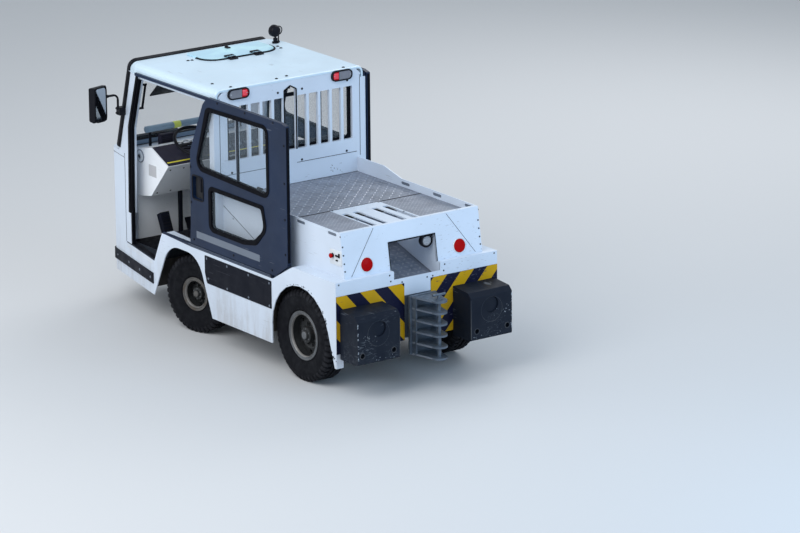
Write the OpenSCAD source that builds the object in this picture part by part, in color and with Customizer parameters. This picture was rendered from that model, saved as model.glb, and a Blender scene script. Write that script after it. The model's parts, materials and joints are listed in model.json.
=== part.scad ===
// Airport baggage tug: cab ahead of the front wheels, sliding doors, open tray, tow tower behind.
// X points forward, Y to the left, Z up. Stations along X are measured from the rear axle,
// and place() moves the whole vehicle so that the origin is under the middle of its length.

/* [Wheels] */
// Distance between the two axles
wheelbase = 1537; // [1480:1:1600]
// Radius of a rear tyre over its tread
rear_tyre_r = 340; // [325:1:350]
// Width of a rear tyre at its bulge
rear_tyre_w = 192; // [170:1:205]
// Distance between the middles of the rear tyres
rear_track = 1158; // [1130:1:1170]
// Radius of a rear rim at its bead seat
rear_bead_r = 166; // [155:1:175]
// Radius of a front tyre over its tread
front_tyre_r = 294; // [280:1:300]
// Width of a front tyre at its bulge
front_tyre_w = 177; // [160:1:185]
// Distance between the middles of the front tyres
front_track = 1071; // [1050:1:1085]
// Radius of a front rim at its bead seat
front_bead_r = 112; // [105:1:130]
// Angle at which the front wheels stand, to the left
steer_rest = 12.4; // [0:0.1:20]

/* [Axles] */
// Distance from the middle of a front tyre in to its kingpin
front_off = 115.5; // [105:0.5:125]
// Radius of a kingpin
kingpin_r = 20; // [16:1:24]
// Length of a steering arm behind its kingpin
arm_len = 150; // [130:1:170]
// Radius of a front wheel spindle
front_spindle_r = 25; // [20:1:30]
// Radius of a rear wheel spindle
rear_spindle_r = 30; // [25:1:35]
// Radius of the rear axle tube
axle_tube_r = 50; // [40:1:55]
// Radial clearance of a shaft in its bore
run_fit = 0.05; // [0.02:0.01:0.1]

/* [Chassis] */
// Outer face of a chassis rail from the centre line
rail_y = 262; // [240:1:268]
// Width of a chassis rail
rail_w = 72; // [50:1:90]
// Height of the underside of the rails
rail_z = 400; // [396:1:410]
// Depth of a chassis rail
rail_h = 90; // [80:1:92]

/* [Lower body] */
// Width over the lower body sides
body_w = 1434; // [1424:1:1450]
// Thickness of the body panels
skin = 8; // [5:1:10]
// Height of the lower edge of the body
skirt_z = 222; // [200:1:240]
// Height of the sill between the wheels
sill_z = 712; // [700:1:716]
// Height of the ledge over the rear wheels
ledge_z = 858; // [840:1:870]
// Distance of the lower rear face behind the rear axle
rear_face = 507; // [495:1:520]
// Radius of the rear wheel arch
rear_arch_r = 363; // [352:1:370]
// Height of the top of the front wheel arch
front_arch_z = 662; // [650:1:675]
// Thickness of the dark plates between the wheels
skirt_plate_t = 4; // [2:1:6]

/* [Rear box and deck] */
// Width over the upper rear box
box_w = 1222; // [1200:1:1240]
// Height of the load deck
deck_z = 1139; // [1125:1:1150]
// Thickness of the deck plates
deck_t = 8; // [5:1:10]
// Height of the low tray walls and the rear lip
lip_z = 1191; // [1175:1:1200]
// Height of the tray walls beside the cab
wall_z = 1250; // [1230:1:1260]
// Setback of the foot of the upper rear panel
upper_foot = 469; // [460:1:475]
// Setback of the top of the upper rear panel
upper_top = 417; // [405:1:430]
// Width of the step recess in the rear panel
recess_w = 410; // [360:1:430]
// Height of the top of the step recess
recess_top = 1056; // [1040:1:1070]
// Height of the lower edge of the step recess
recess_foot = 796; // [780:1:810]
// Depth of the step ramp inside the recess
recess_d = 545; // [420:1:560]
// Height of the ramp at its foot, behind the rear panel
ramp_foot = 726; // [716:1:740]
// Height of the ramp's inner end
ramp_z = 887; // [870:1:900]
// Width of the slotted cover in the deck
cover_w = 440; // [400:1:470]
// Station of the seam between front and rear deck
deck_seam = 270; // [240:1:300]

/* [Cab] */
// Station of the outer face of the cab's rear wall
cab_rear = 1080; // [1070:1:1090]
// Thickness of the cab's rear wall
wall_t = 24; // [18:1:30]
// Height of the roof's upper face
roof_z = 1946; // [1930:1:1955]
// Thickness of the roof shell
roof_t = 14; // [10:1:18]
// Half width of the roof over its rear part
roof_half = 664; // [650:1:668]
// Depth of the roof's sides
roof_edge_drop = 86; // [76:1:100]
// Station of the roof's front edge
roof_front = 2290; // [2280:1:2300]
// Station of the foot of the windscreen
screen_foot_x = 2570; // [2550:1:2580]
// Height of the foot of the windscreen
screen_foot_z = 1193; // [1193:1:1200]
// Width of the windscreen's dark frame
screen_frame = 52; // [40:1:60]
// How far the windscreen's frame stands above the roof's front edge
screen_lip = 21; // [12:1:24]
// Height of the upper cab floor, over the front axle
floor_z = 720; // [716:1:726]
// Height of the entry floor
entry_z = 500; // [494:1:508]
// Station of the step between the two floors
step_x = 1870; // [1866:1:1880]

/* [Grille] */
// Number of slots in the rear wall
slot_n = 11; // [7:2:11]
// Width of one slot
slot_w = 80; // [60:1:84]
// Distance from slot to slot
slot_pitch = 104; // [90:1:104]
// Distance from the roof's upper face down to the slots
slot_drop = 141; // [135:1:160]
// Length of the slots
slot_len = 405; // [380:1:430]

/* [Doors] */
// Length of a sliding door
door_len = 1277; // [1270:1:1285]
// Thickness of a door
door_t = 30; // [24:1:34]
// Inner face of the doors from the centre line
door_y = 688; // [686:1:692]
// Height of a door's lower edge
door_foot = 742; // [740:1:750]
// Distance from the roof's upper face down to a door's upper edge
door_drop = 46; // [36:1:56]
// Station of the open door's rear edge
door_open_x = 92; // [85:1:100]
// Distance that a door slides
door_travel = 978; // [960:1:980]

/* [Front end] */
// Station where the high part of the nose starts
cowl_x = 2430; // [2420:1:2440]
// Station where the sides start to taper
taper_x = 1883; // [1880:1:1890]
// Station of the front corners
corner_x = 2680; // [2660:1:2690]
// Half width at the front corners
corner_y = 550; // [530:1:570]
// Station of the front panel
nose_x = 2740; // [2725:1:2750]
// Half width of the flat front
nose_half = 430; // [400:1:450]
// Height of the cowl under the windscreen
cowl_z = 1190; // [1184:1:1196]
// Lower and upper edge of the bumper strip
bumper_z = 310; // [300:1:320]
// Height of the bumper strip
bumper_h = 80; // [60:1:90]
// How far the bumper stands proud
bumper_t = 10; // [6:1:14]

/* [Towing] */
// Half width of the tow tower's mounting plate
tower_half = 117; // [110:1:124]
// Station behind the axle of the mounting plate's rear face
tower_x = 577; // [570:1:585]
// Overall reach of the tow tower behind the axle
tower_end = 830; // [820:1:840]
// Height of the lowest tow plate
tower_foot = 235; // [220:1:250]
// Distance from tow plate to tow plate
tow_pitch = 85; // [80:1:90]
// Number of tow plates
tow_n = 6; // [4:1:6]
// Thickness of a tow plate
tow_t = 14; // [10:1:18]
// Distance of the tow pin behind the axle
tow_pin_x = 770; // [765:1:775]
// Radius of the tow pin
tow_pin_r = 14; // [12:1:16]
// Radius of the bore in the front tow jaw
jaw_bore_r = 16; // [13:1:18]
// Reach of the front tow jaw ahead of the front panel
jaw_reach = 90; // [86:1:96]

/* [Ballast] */
// Rear face of the ballast blocks behind the axle
ballast_x = 727; // [710:1:740]
// Inner side of a ballast block from the centre line
ballast_y0 = 314; // [300:1:330]
// Outer side of a ballast block from the centre line
ballast_y1 = 685; // [670:1:700]
// Height of the lower face of the ballast
ballast_z0 = 290; // [270:1:310]
// Height of the upper face of the ballast
ballast_z1 = 660; // [640:1:670]

/* [Roof fittings] */
// Station of the hatch hinge line
hatch_x = 1852; // [1845:1:1860]
// Length of the hatch
hatch_len = 318; // [300:1:330]
// Left edge of the hatch
hatch_y1 = 200; // [180:1:210]
// Right edge of the hatch
hatch_y0 = -450; // [-470:1:-430]
// Thickness of the hatch sheet
hatch_t = 10; // [8:1:12]

/* [Mirrors] */
// Distance of a mirror's outer edge from the centre line
mirror_out = 898; // [870:1:940]
// Width of a mirror
mirror_w = 130; // [115:1:145]
// Height of a mirror
mirror_h = 276; // [250:1:300]

/* [Steering wheel] */
// Radius of the steering wheel rim
wheel_r = 190; // [170:1:200]
// Radius of the rim's section
wheel_tube = 13; // [10:1:15]
// Station where the steering column leaves the dash
column_x = 2060; // [2040:1:2080]
// Length of the steering column above the dash
column_len = 120; // [110:1:140]
// Distance of the steering column from the centre line
column_y = 200; // [180:1:220]

/* [Hidden] */
$fn = 48;

touch = 0.3;
roof_edge_z = roof_z - roof_edge_drop;
slot_top = roof_z - slot_drop;
slot_foot = slot_top - slot_len;
door_top = roof_z - door_drop;
half_w = body_w / 2;
box_half = box_w / 2;
kingpin_y = front_track / 2 - front_off;
origin_x = (nose_x + jaw_reach - tower_end) / 2;
yaw = atan2(half_w - corner_y, corner_x - taper_x);
roof_nose_drop = 26;
screen_seat_z = roof_z - roof_nose_drop - roof_t - 12;
screen_top_z = roof_z - roof_nose_drop + screen_lip;
screen_rise = screen_top_z - screen_foot_z;
screen_lean = atan2(screen_foot_x - roof_front - 8, screen_seat_z - screen_foot_z);
screen_back = 6;
function screen_x(z) = screen_foot_x - (z - screen_foot_z) * tan(screen_lean) - screen_back / cos(screen_lean) - touch;

// Colours
body_white = [0.86, 0.90, 0.96];
slate = [0.20, 0.25, 0.33];
black = [0.05, 0.05, 0.06];
rubber = [0.09, 0.09, 0.09];
galvanised = [0.52, 0.55, 0.58];
plate_metal = [0.62, 0.63, 0.66];
hazard_yellow = [0.85, 0.62, 0.04];
lamp_red = [0.75, 0.02, 0.03];
clear = [0.6, 0.7, 0.75, 0.35];

// Moves the stations measured from the rear axle into the vehicle's own frame
module place() translate([-origin_x, 0, 0]) children();
module both() { children(); mirror([0, 1, 0]) children(); }
// Extrude a side outline (x, z) inwards from y, a cross outline (y, z) forwards from x
module side(y, t) translate([0, y, 0]) rotate([90, 0, 0]) linear_extrude(t) children();
module cross(x, t) translate([x, 0, 0]) rotate([90, 0, 90]) linear_extrude(t) children();
module flat(z, t) translate([0, 0, z]) linear_extrude(t) children();
module block(x0, x1, y0, y1, z0, z1) translate([x0, y0, z0]) cube([x1 - x0, y1 - y0, z1 - z0]);

// Corner p of an outline between its neighbours a and b, as an arc of radius r
function arc(a, p, b, r, n) =
    let (u = (a - p) / norm(a - p), v = (b - p) / norm(b - p), half = acos(u * v) / 2,
         c = p + (u + v) / norm(u + v) * r / sin(half), s = p + u * r / tan(half) - c,
         e = p + v * r / tan(half) - c, a0 = atan2(s.y, s.x), d = atan2(s.x * e.y - s.y * e.x, s * e))
    [for (i = [0:n]) c + r * [cos(a0 + d * i / n), sin(a0 + d * i / n)]];
// Outline with every corner rounded: r is one radius, or one for each corner
function rounded(p, r, n = 5) = [for (i = [0:len(p) - 1])
    let (q = is_list(r) ? r[i] : r, k = len(p))
    each (q > 0 ? arc(p[(i + k - 1) % k], p[i], p[(i + 1) % k], q, n) : [p[i]])];
function box2(x0, x1, y0, y1) = [[x0, y0], [x1, y0], [x1, y1], [x0, y1]];

// Wheels
flange_h = 17;
flange_t = 5;
module tyre_solid(r, w, bead) {
    tread = w * 0.40;
    seat = w * 0.36 - flange_t / 2 - touch;
    half = [[bead + touch, seat], [bead + flange_h + touch, seat], [bead + 32, seat + 12], [(bead + r) / 2, w / 2],
        [r - 20, w * 0.47], [r, tread]];
    profile = rounded(concat([for (p = half) [p.x, -p.y]], [for (i = [len(half) - 1:-1:0]) half[i]]),
        [0, 4, 6, 40, 24, 12, 12, 24, 40, 6, 4, 0], 4);
    groove = [-0.22, 0, 0.22];
    difference() {
        rotate_extrude($fn = 96) polygon(profile);
        for (g = groove) translate([0, 0, g * w - 4])
            difference() {
                cylinder(h = 8, r = r + 5, $fn = 96);
                translate([0, 0, -1]) cylinder(h = 10, r = r - 9, $fn = 96);
            }
    }
}
module rim_solid(bead, w, spindle, hub_r, hub_in, hub_out, holes) {
    seat = w * 0.36;
    wall = 6;
    disc = w * 0.02;
    difference() {
        union() {
            rotate_extrude($fn = 96) {
                translate([bead - wall, -seat]) square([wall, 2 * seat]);
                for (z = [-seat, seat]) translate([bead - wall, z - flange_t / 2]) square([wall + flange_h, flange_t]);
                polygon([[hub_r - 2, disc - 4], [bead * 0.62, disc + 14], [bead - wall + 1, disc - 8],
                    [bead - wall + 1, disc - 18], [bead * 0.62, disc + 4], [hub_r - 2, disc - 14]]);
            }
            translate([0, 0, -hub_in]) cylinder(h = hub_in + hub_out, r = hub_r);
        }
        translate([0, 0, -hub_in - 1]) cylinder(h = hub_in + hub_out - 11, r = spindle + run_fit);
        for (i = [0:holes - 1]) rotate(i * 360 / holes)
            translate([bead * 0.78, 0, -w / 2]) cylinder(h = w, r = bead * 0.09, $fn = 24);
    }
}
// Turns a wheel's own axis to lie across the vehicle, outer side to the left
module across() rotate([-90, 0, 0]) children();
module at_kingpin() place() translate([wheelbase, kingpin_y, front_tyre_r]) rotate(steer_rest) children();
module at_kingpin_right() place() translate([wheelbase, -kingpin_y, front_tyre_r]) rotate(steer_rest)
    mirror([0, 1, 0]) children();
front_hub_in = 50;
front_hub_out = 42;
rear_hub_in = 60;
rear_hub_out = 48;

module front_rim() color([0.22, 0.23, 0.25]) translate([0, front_off, 0]) across()
    rim_solid(front_bead_r, front_tyre_w, front_spindle_r, 46, front_hub_in, front_hub_out, 8);
module front_tyre() color(rubber) translate([0, front_off, 0]) across()
    tyre_solid(front_tyre_r, front_tyre_w, front_bead_r);
module rear_rim() color([0.30, 0.31, 0.33]) translate([0, rear_track / 2, rear_tyre_r]) across()
    rim_solid(rear_bead_r, rear_tyre_w, rear_spindle_r, 58, rear_hub_in, rear_hub_out, 8);
module rear_tyre() color(rubber) translate([0, rear_track / 2, rear_tyre_r]) across()
    tyre_solid(rear_tyre_r, rear_tyre_w, rear_bead_r);
module rim_front_left() at_kingpin() front_rim();
module rim_front_right() at_kingpin_right() front_rim();
module tyre_front_left() at_kingpin() front_tyre();
module tyre_front_right() at_kingpin_right() front_tyre();
module rim_rear_left() place() rear_rim();
module rim_rear_right() place() mirror([0, 1, 0]) rear_rim();
module tyre_rear_left() place() rear_tyre();
module tyre_rear_right() place() mirror([0, 1, 0]) rear_tyre();

// Axles and steering
boss_r = kingpin_r + 14;
boss_h = 80;
ear_t = 22;
ear_gap = 1;
arm_z = -boss_h / 2 - ear_gap - ear_t;
module front_axle() color(black) place() {
    translate([wheelbase, 0, front_tyre_r]) {
        difference() {
            union() {
                translate([-35, -kingpin_y, -35]) cube([70, 2 * kingpin_y, 70]);
                both() translate([0, kingpin_y, -boss_h / 2]) cylinder(h = boss_h, r = boss_r);
            }
            both() translate([0, kingpin_y, -boss_h]) cylinder(h = 2 * boss_h, r = kingpin_r + run_fit);
            // The beam stops short of the knuckles
            both() translate([-60, kingpin_y, -boss_h]) difference() {
                cube([120, boss_r + 20, 2 * boss_h]);
                translate([60, 0, boss_h / 2]) cylinder(h = boss_h, r = boss_r);
            }
        }
        spring_len = 700;
        spring_rise = rail_z - front_tyre_r - 35;
        both() translate([0, rail_y - rail_w / 2, 35]) side(25, 50)
            polygon(concat([for (i = [-8:8]) [i * spring_len / 16, (spring_rise - 24) * pow(i / 8, 2)]],
                [for (i = [8:-1:-8]) [i * spring_len / 16, 24 + (spring_rise - 24) * pow(i / 8, 2)]]));
    }
}
module knuckle() color([0.16, 0.16, 0.17]) {
    for (z = [boss_h / 2 + ear_gap, arm_z]) difference() {
        union() {
            translate([0, 0, z]) cylinder(h = ear_t, r = boss_r);
            translate([-boss_r, 0, z]) cube([2 * boss_r, boss_r + 18, ear_t]);
        }
    }
    translate([0, 0, arm_z]) cylinder(h = -2 * arm_z, r = kingpin_r);
    translate([-boss_r, boss_r + 4, arm_z]) cube([2 * boss_r, 14, -2 * arm_z]);
    translate([0, boss_r + 10, 0]) across()
        cylinder(h = front_off + front_hub_out - 14 - boss_r - 10, r = front_spindle_r);
    // Steering arm with the hole for the tie rod's ball stud
    difference() {
        translate([-arm_len, -16, arm_z]) cube([arm_len, 32, ear_t]);
        translate([-arm_len, 0, arm_z - 1]) cylinder(h = ear_t + 2, r = 9 + run_fit);
    }
    difference() {
        translate([-arm_len, 0, arm_z]) cylinder(h = ear_t, r = 22);
        translate([-arm_len, 0, arm_z - 1]) cylinder(h = ear_t + 2, r = 9 + run_fit);
    }
}
module knuckle_left() at_kingpin() knuckle();
module knuckle_right() at_kingpin_right() knuckle();
// The tie rod lies under the steering arms, square to the vehicle
module tie_rod() color(galvanised) place()
    translate([wheelbase - arm_len * cos(steer_rest), -arm_len * sin(steer_rest), front_tyre_r + arm_z]) {
        translate([0, -kingpin_y, -17]) across() cylinder(h = 2 * kingpin_y, r = 13);
        for (y = [-kingpin_y, kingpin_y]) translate([0, y, 0]) {
            translate([0, 0, -34]) cylinder(h = 34 - touch, r = 20);
            translate([0, 0, -20]) cylinder(h = 20 + ear_t, r = 9);
        }
    }
module rear_axle() color([0.13, 0.13, 0.14]) place() translate([0, 0, rear_tyre_r]) {
    drum = rear_track / 2 - rear_hub_in - 14;
    translate([0, -drum, 0]) across() cylinder(h = 2 * drum, r = axle_tube_r);
    translate([0, -110, 0]) across() cylinder(h = 220, r = 118);
    translate([90, 0, 0]) rotate([0, 90, 0]) cylinder(h = 90, r = 60);
    both() {
        translate([0, drum - 60, 0]) across() cylinder(h = 56, r = 128);
        translate([0, drum - 2, 0]) across()
            cylinder(h = rear_hub_in + rear_hub_out + 2, r = rear_spindle_r);
        block(-60, 60, rail_y - rail_w, rail_y, 20, rail_z - rear_tyre_r);
    }
}

// Chassis
rail_back = -rear_face + skin;
rail_front = 2560;
member_x = [rail_back, rear_tyre_r + 12, 1000, 1940];
module chassis() color([0.10, 0.10, 0.11]) place() {
    both() block(rail_back, rail_front, rail_y - rail_w, rail_y, rail_z, rail_z + rail_h);
    for (x = concat(member_x, [rail_front - 60]))
        block(x, x + 60, -rail_y + rail_w, rail_y - rail_w, rail_z, rail_z + rail_h);
    // Outriggers that carry the body sides
    both() for (x = [member_x[0], member_x[1], member_x[2]])
        block(x, x + 60, rail_y, half_w - skin, rail_z, rail_z + rail_h);
    both() difference() {
        block(member_x[3], member_x[3] + 60, rail_y, half_w, rail_z, rail_z + rail_h);
        flat(rail_z - 5, rail_h + 10) plan_ring(taper_x, -60, skin);
    }
}
module power_unit() color([0.18, 0.18, 0.19]) place() {
    block(360, 980, -300, 300, rail_z + rail_h, deck_z - deck_t - 60);
}

// Side line of the tapered front, and the plan of the front body pulled in by an amount
function front_side_y(x) = half_w - (x - taper_x) * tan(yaw);
function plan(x0, t) = let (s = front_side_y(x0) - t / cos(yaw))
    rounded([[x0, s], [corner_x - t / 2, corner_y - t], [nose_x - t, nose_half - t / 2],
        [nose_x - t, -nose_half + t / 2], [corner_x - t / 2, -corner_y + t], [x0, -s]],
        [0, 70, 90, 90, 70, 0], 4);
module plan_ring(x0, t_out, t_in) difference() {
    polygon(plan(x0, t_out));
    polygon(plan(x0 - 1, t_in));
}

// Lower body sides: one folded panel on each side, with the arches cut
rear_arch_c = [-57, 370];
fender_x = 1757;
fender_z = 729;
rise_foot = 290;
function rear_arch() = concat([[303, skirt_z - 10], [303, rear_arch_c.y]],
    [for (a = [0:15:165]) rear_arch_c + rear_arch_r * [cos(a), sin(a)]],
    [[-488, skirt_z - 10]]);
function front_arch() = rounded([[1884, skirt_z - 10], [1668, front_arch_z], [1269, front_arch_z],
    [1087, skirt_z - 10]], [0, 220, 220, 0], 8);
function body_top() = [[-rear_face, ledge_z], [30, ledge_z], [70, 838], [rise_foot, sill_z], [1370, sill_z],
    [fender_x, fender_z]];
module body_side() color(body_white) {
    side(half_w, skin) difference() {
        polygon(concat([[-rear_face, skirt_z]], body_top(), [[step_x, entry_z - 10], [taper_x, entry_z - 10],
            [taper_x, skirt_z]]));
        polygon(rear_arch());
        polygon(front_arch());
    }
    // Ledge, rise and sill as one folded strip
    side(half_w - skin, half_w - skin - box_half) {
        top = body_top();
        polygon(concat(top, [for (i = [len(top) - 1:-1:0]) top[i] - [0, skin]]));
    }
    // Turned-in edge at the rear corner
    block(-rear_face, -rear_face + skin, ballast_y1 - 30, half_w - skin, skirt_z, ledge_z - skin);
}
module body_left() place() body_side();
module body_right() place() mirror([0, 1, 0]) body_side();
module skirt_plates() color(black) place() both() side(half_w + skirt_plate_t, skirt_plate_t)
    polygon(rounded([[306, 481], [1150, 481], [1176, 560], [1176, 690], [306, 690]], [6, 20, 20, 6, 6], 3));

// Rear face
module rear_panel() color(body_white) place() difference() {
    cross(-rear_face, skin) polygon([[-ballast_y1 + 30, rail_z - 60], [ballast_y1 - 30, rail_z - 60],
        [ballast_y1 - 30, ledge_z - skin], [-ballast_y1 + 30, ledge_z - skin]]);
    block(-rear_face - 1, -rear_face + skin + 1, -recess_w / 2, recess_w / 2, recess_foot, ledge_z);
}
hazard_in = 118;
hazard_foot = 330;
hazard_top = 757;
hazard_t = 3;
stripe_w = 121;
function hazard_outline() = box2(hazard_in, half_w - 2, hazard_foot, hazard_top);
module hazard_plates() color(black) place() both() cross(-rear_face - hazard_t, hazard_t) polygon(hazard_outline());
module hazard_stripes() color(hazard_yellow) place() both() cross(-rear_face - hazard_t - 1, 1) intersection() {
    polygon(hazard_outline());
    union() for (i = [0:5]) {
        y = hazard_in + 25 + (2 * i - 2) * stripe_w;
        drop = hazard_top - hazard_foot;
        polygon([[y, hazard_top], [y + stripe_w, hazard_top], [y + stripe_w - drop * 0.9, hazard_foot],
            [y - drop * 0.9, hazard_foot]]);
    }
}

// Upper rear box: side walls, leaning rear panel with the recess
function lean_x(z) = -upper_foot + (upper_foot - upper_top) * (z - ledge_z) / (lip_z - ledge_z);
tray_slot_x = [469, 73, -320];
module rear_box() color(body_white) place() {
    both() side(box_half, skin) difference() {
        polygon([[lean_x(ledge_z - skin), ledge_z - skin], [40, ledge_z - skin], [40, sill_z - skin],
            [cab_rear, sill_z - skin], [cab_rear, wall_z], [742, wall_z], [520, lip_z + 6], [lean_x(lip_z), lip_z]]);
        for (x = tray_slot_x) polygon(rounded(box2(x - 52, x + 52, 1157, 1179), 9, 3));
    }
    difference() {
        side(box_half - skin, box_w - 2 * skin) polygon([[lean_x(ledge_z - skin), ledge_z - skin],
            [lean_x(lip_z), lip_z], [lean_x(lip_z) + skin, lip_z], [lean_x(ledge_z - skin) + skin, ledge_z - skin]]);
        block(-rear_face, 0, -recess_w / 2, recess_w / 2, recess_foot, recess_top);
    }
    // Ledge behind the panel and the lip along its top
    difference() {
        block(-rear_face, lean_x(ledge_z) + 2, -box_half, box_half, ledge_z - skin, ledge_z);
        block(-rear_face - 1, 0, -recess_w / 2, recess_w / 2, recess_foot, recess_top);
    }
    block(lean_x(lip_z), lean_x(lip_z) + 30, -box_half + skin, box_half - skin, lip_z - skin, lip_z);
}
module recess_step() color(plate_metal) place() {
    x0 = -rear_face + skin;
    x1 = -rear_face + recess_d;
    half = recess_w / 2;
    lid = deck_z - deck_t;
    // Ramp of chequered plate, its back wall and two side plates
    side(half, recess_w) polygon([[x0, ramp_foot - skin], [x1, ramp_z - skin], [x1, lid], [x1 - skin, lid],
        [x1 - skin, ramp_z - 2], [x0, ramp_foot]]);
    both() side(half + 3, 3) polygon([[x0, ramp_foot - skin], [x1, ramp_z - skin], [x1, lid],
        [lean_x(lid) + skin + 2, lid], [lean_x(ledge_z) + skin + 2, ledge_z - skin], [x0, ledge_z - skin]]);
}
module deck_plates() color(plate_metal) place() {
    block(deck_seam + 2, cab_rear, -box_half + skin, box_half - skin, deck_z - deck_t, deck_z);
    both() block(lean_x(deck_z) + skin + 4, deck_seam - 2, cover_w / 2 + 1, box_half - skin, deck_z - deck_t, deck_z);
}
cover_slot_y = [-182, -84, 84, 182];
module deck_cover() color(body_white) place() difference() {
    block(lean_x(deck_z) + skin + 4, deck_seam - 2, -cover_w / 2, cover_w / 2, deck_z - deck_t, deck_z + 2);
    for (y = cover_slot_y) flat(deck_z - deck_t - 1, deck_t + 4)
        polygon(rounded(box2(-250, 147, y - 24, y + 24), 12, 3));
}

// Ballast and towing
module ballast_blocks() color(slate) place() both() difference() {
    side(ballast_y1, ballast_y1 - ballast_y0) polygon(rounded([[-rear_face - hazard_t - 1, ballast_z0],
        [-rear_face - hazard_t - 1, ballast_z1], [-ballast_x + 34, ballast_z1 - 14], [-ballast_x, ballast_z1 - 48],
        [-ballast_x, ballast_z0]], [0, 0, 12, 12, 12], 3));
    for (y = [ballast_y0 + 55, ballast_y1 - 42]) translate([-ballast_x - 1, y, ballast_z0 + 68])
        rotate([0, 90, 0]) cylinder(h = 30, r = 19);
    translate([-ballast_x - 1, (ballast_y0 + ballast_y1) / 2, ballast_z0 + 250])
        rotate([0, 90, 0]) cylinder(h = 14, r = 62);
}
function tow_z(i) = tower_foot + i * tow_pitch;
tower_nose_r = tower_end - tow_pin_x;
module hitch_tower() color(galvanised) place() {
    top = tow_z(tow_n - 1) + tow_t;
    block(-tower_x, -tower_x + 16, -tower_half, tower_half, tower_foot, top);
    both() block(-tower_x + 16, -rear_face - hazard_t - 1, tower_half - 50, tower_half - 30, tower_foot + 20, top - 20);
    block(-rear_face - hazard_t - 2, -rear_face, -hazard_in + 2, hazard_in - 2, rail_z - 50, top - 10);
    difference() {
        for (i = [0:tow_n - 1]) flat(tow_z(i), tow_t) union() {
            polygon([[-tower_x + 1, -tower_half + 14], [-tower_x + 1, tower_half - 14],
                [-tow_pin_x, tower_nose_r], [-tow_pin_x, -tower_nose_r]]);
            translate([-tow_pin_x, 0]) circle(r = tower_nose_r);
        }
        translate([-tow_pin_x, 0, 0]) cylinder(h = top + 10, r = tow_pin_r + run_fit);
    }
    // Cheeks that join the plates near the mounting plate
    both() block(-tower_x - 42, -tower_x + 1, tower_half - 34, tower_half - 20, tower_foot, top);
}
module hitch_pin() color(galvanised) place() translate([-tow_pin_x, 0, 0]) {
    top = tow_z(tow_n - 1) + tow_t;
    translate([0, 0, tower_foot - 12]) cylinder(h = top - tower_foot + 50, r = tow_pin_r);
    translate([0, 0, top + touch]) cylinder(h = 10, r = tow_pin_r + 12);
    translate([0, 0, top + 38]) across() translate([0, 0, -55]) cylinder(h = 110, r = 9);
}

// Front body
module front_shell() color(body_white) place() {
    flat(skirt_z, entry_z - 10 - skirt_z) plan_ring(taper_x, 0, skin);
    flat(entry_z - 10, cowl_z - skin - entry_z + 10) plan_ring(cowl_x, 0, skin);
    flat(cowl_z - skin, skin) polygon(plan(cowl_x + 10, 0));
}
module bumper() color(black) place() flat(bumper_z, bumper_h) difference() {
    polygon(plan(taper_x, -bumper_t));
    polygon(plan(taper_x - 1, 0));
}
jaw_z = [318, 412];
jaw_t = 20;
jaw_r = 40;
module front_hitch() color(galvanised) place() difference() {
    union() {
        for (z = jaw_z) flat(z, jaw_t) {
            translate([nose_x + jaw_reach - jaw_r, 0]) circle(r = jaw_r);
            translate([nose_x, -jaw_r]) square([jaw_reach - jaw_r, 2 * jaw_r]);
        }
        block(nose_x, nose_x + bumper_t + 12, -jaw_r, jaw_r, jaw_z[0] + 2, jaw_z[1] + 2);
    }
    flat(bumper_z - 5, bumper_h + 5 + touch) polygon(plan(taper_x, -bumper_t - touch));
    translate([nose_x + jaw_reach - jaw_r, 0, 0]) cylinder(h = 600, r = jaw_bore_r);
}

// Cab floor: one folded plate, upper floor, riser and entry floor
module cab_floor() color([0.55, 0.60, 0.68]) place() {
    t = 8;
    half = box_half;
    side(half, 2 * half) polygon([[cab_rear + wall_t, floor_z], [fender_x - 20, floor_z], [step_x - 6, entry_z - 3],
        [step_x - 14, entry_z - 3], [fender_x - 26, floor_z - t], [cab_rear + wall_t, floor_z - t]]);
    edge = [[step_x - 20, half_w - 12], [step_x + 2, half_w - 12], [step_x + 2, half_w - 2], [taper_x, half_w - 2],
        [cowl_x - 6, front_side_y(cowl_x - 6) - 2]];
    flat(entry_z - 10, 10) polygon(concat(edge, [for (i = [len(edge) - 1:-1:0]) [edge[i].x, -edge[i].y]]));
}

// Pillars, posts and roof rails
function side_u(x) = (x - taper_x) / cos(yaw);
post_y0 = 634;
post_y1 = 680;
pillar_t = 36;
pillar_top_x = 2120;
pillar_mid = [2307, 1420];
pillar_low = [2334, 745];
roof_rail_h = 26;
jamb_w = 22;
rear_seal_w = 26;
module cab_frame() color(body_white) place() both() {
    // Front pillar with its foot down to the entry floor
    top = roof_edge_z - touch;
    translate([taper_x, half_w, 0]) rotate(-yaw) side(0, pillar_t) polygon([
        [side_u(pillar_low.x), entry_z], [side_u(cowl_x - 2), entry_z],
        [side_u(cowl_x - 2), cowl_z + touch], [side_u(screen_x(cowl_z) - 24), cowl_z + touch],
        [side_u(screen_x(cowl_z + 24)), cowl_z + 24], [side_u(screen_x(top)), top], [side_u(pillar_top_x), top],
        [side_u(pillar_mid.x), pillar_mid.y], [side_u(pillar_low.x), pillar_low.y]]);
    // Rear post
    block(cab_rear, cab_rear + 62, post_y0, post_y1, sill_z, roof_edge_z);
    // Rail under the roof's side
    block(cab_rear + 62, 2150, 604, roof_half - roof_t - touch, roof_edge_z - roof_rail_h, roof_edge_z - touch);
}
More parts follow.
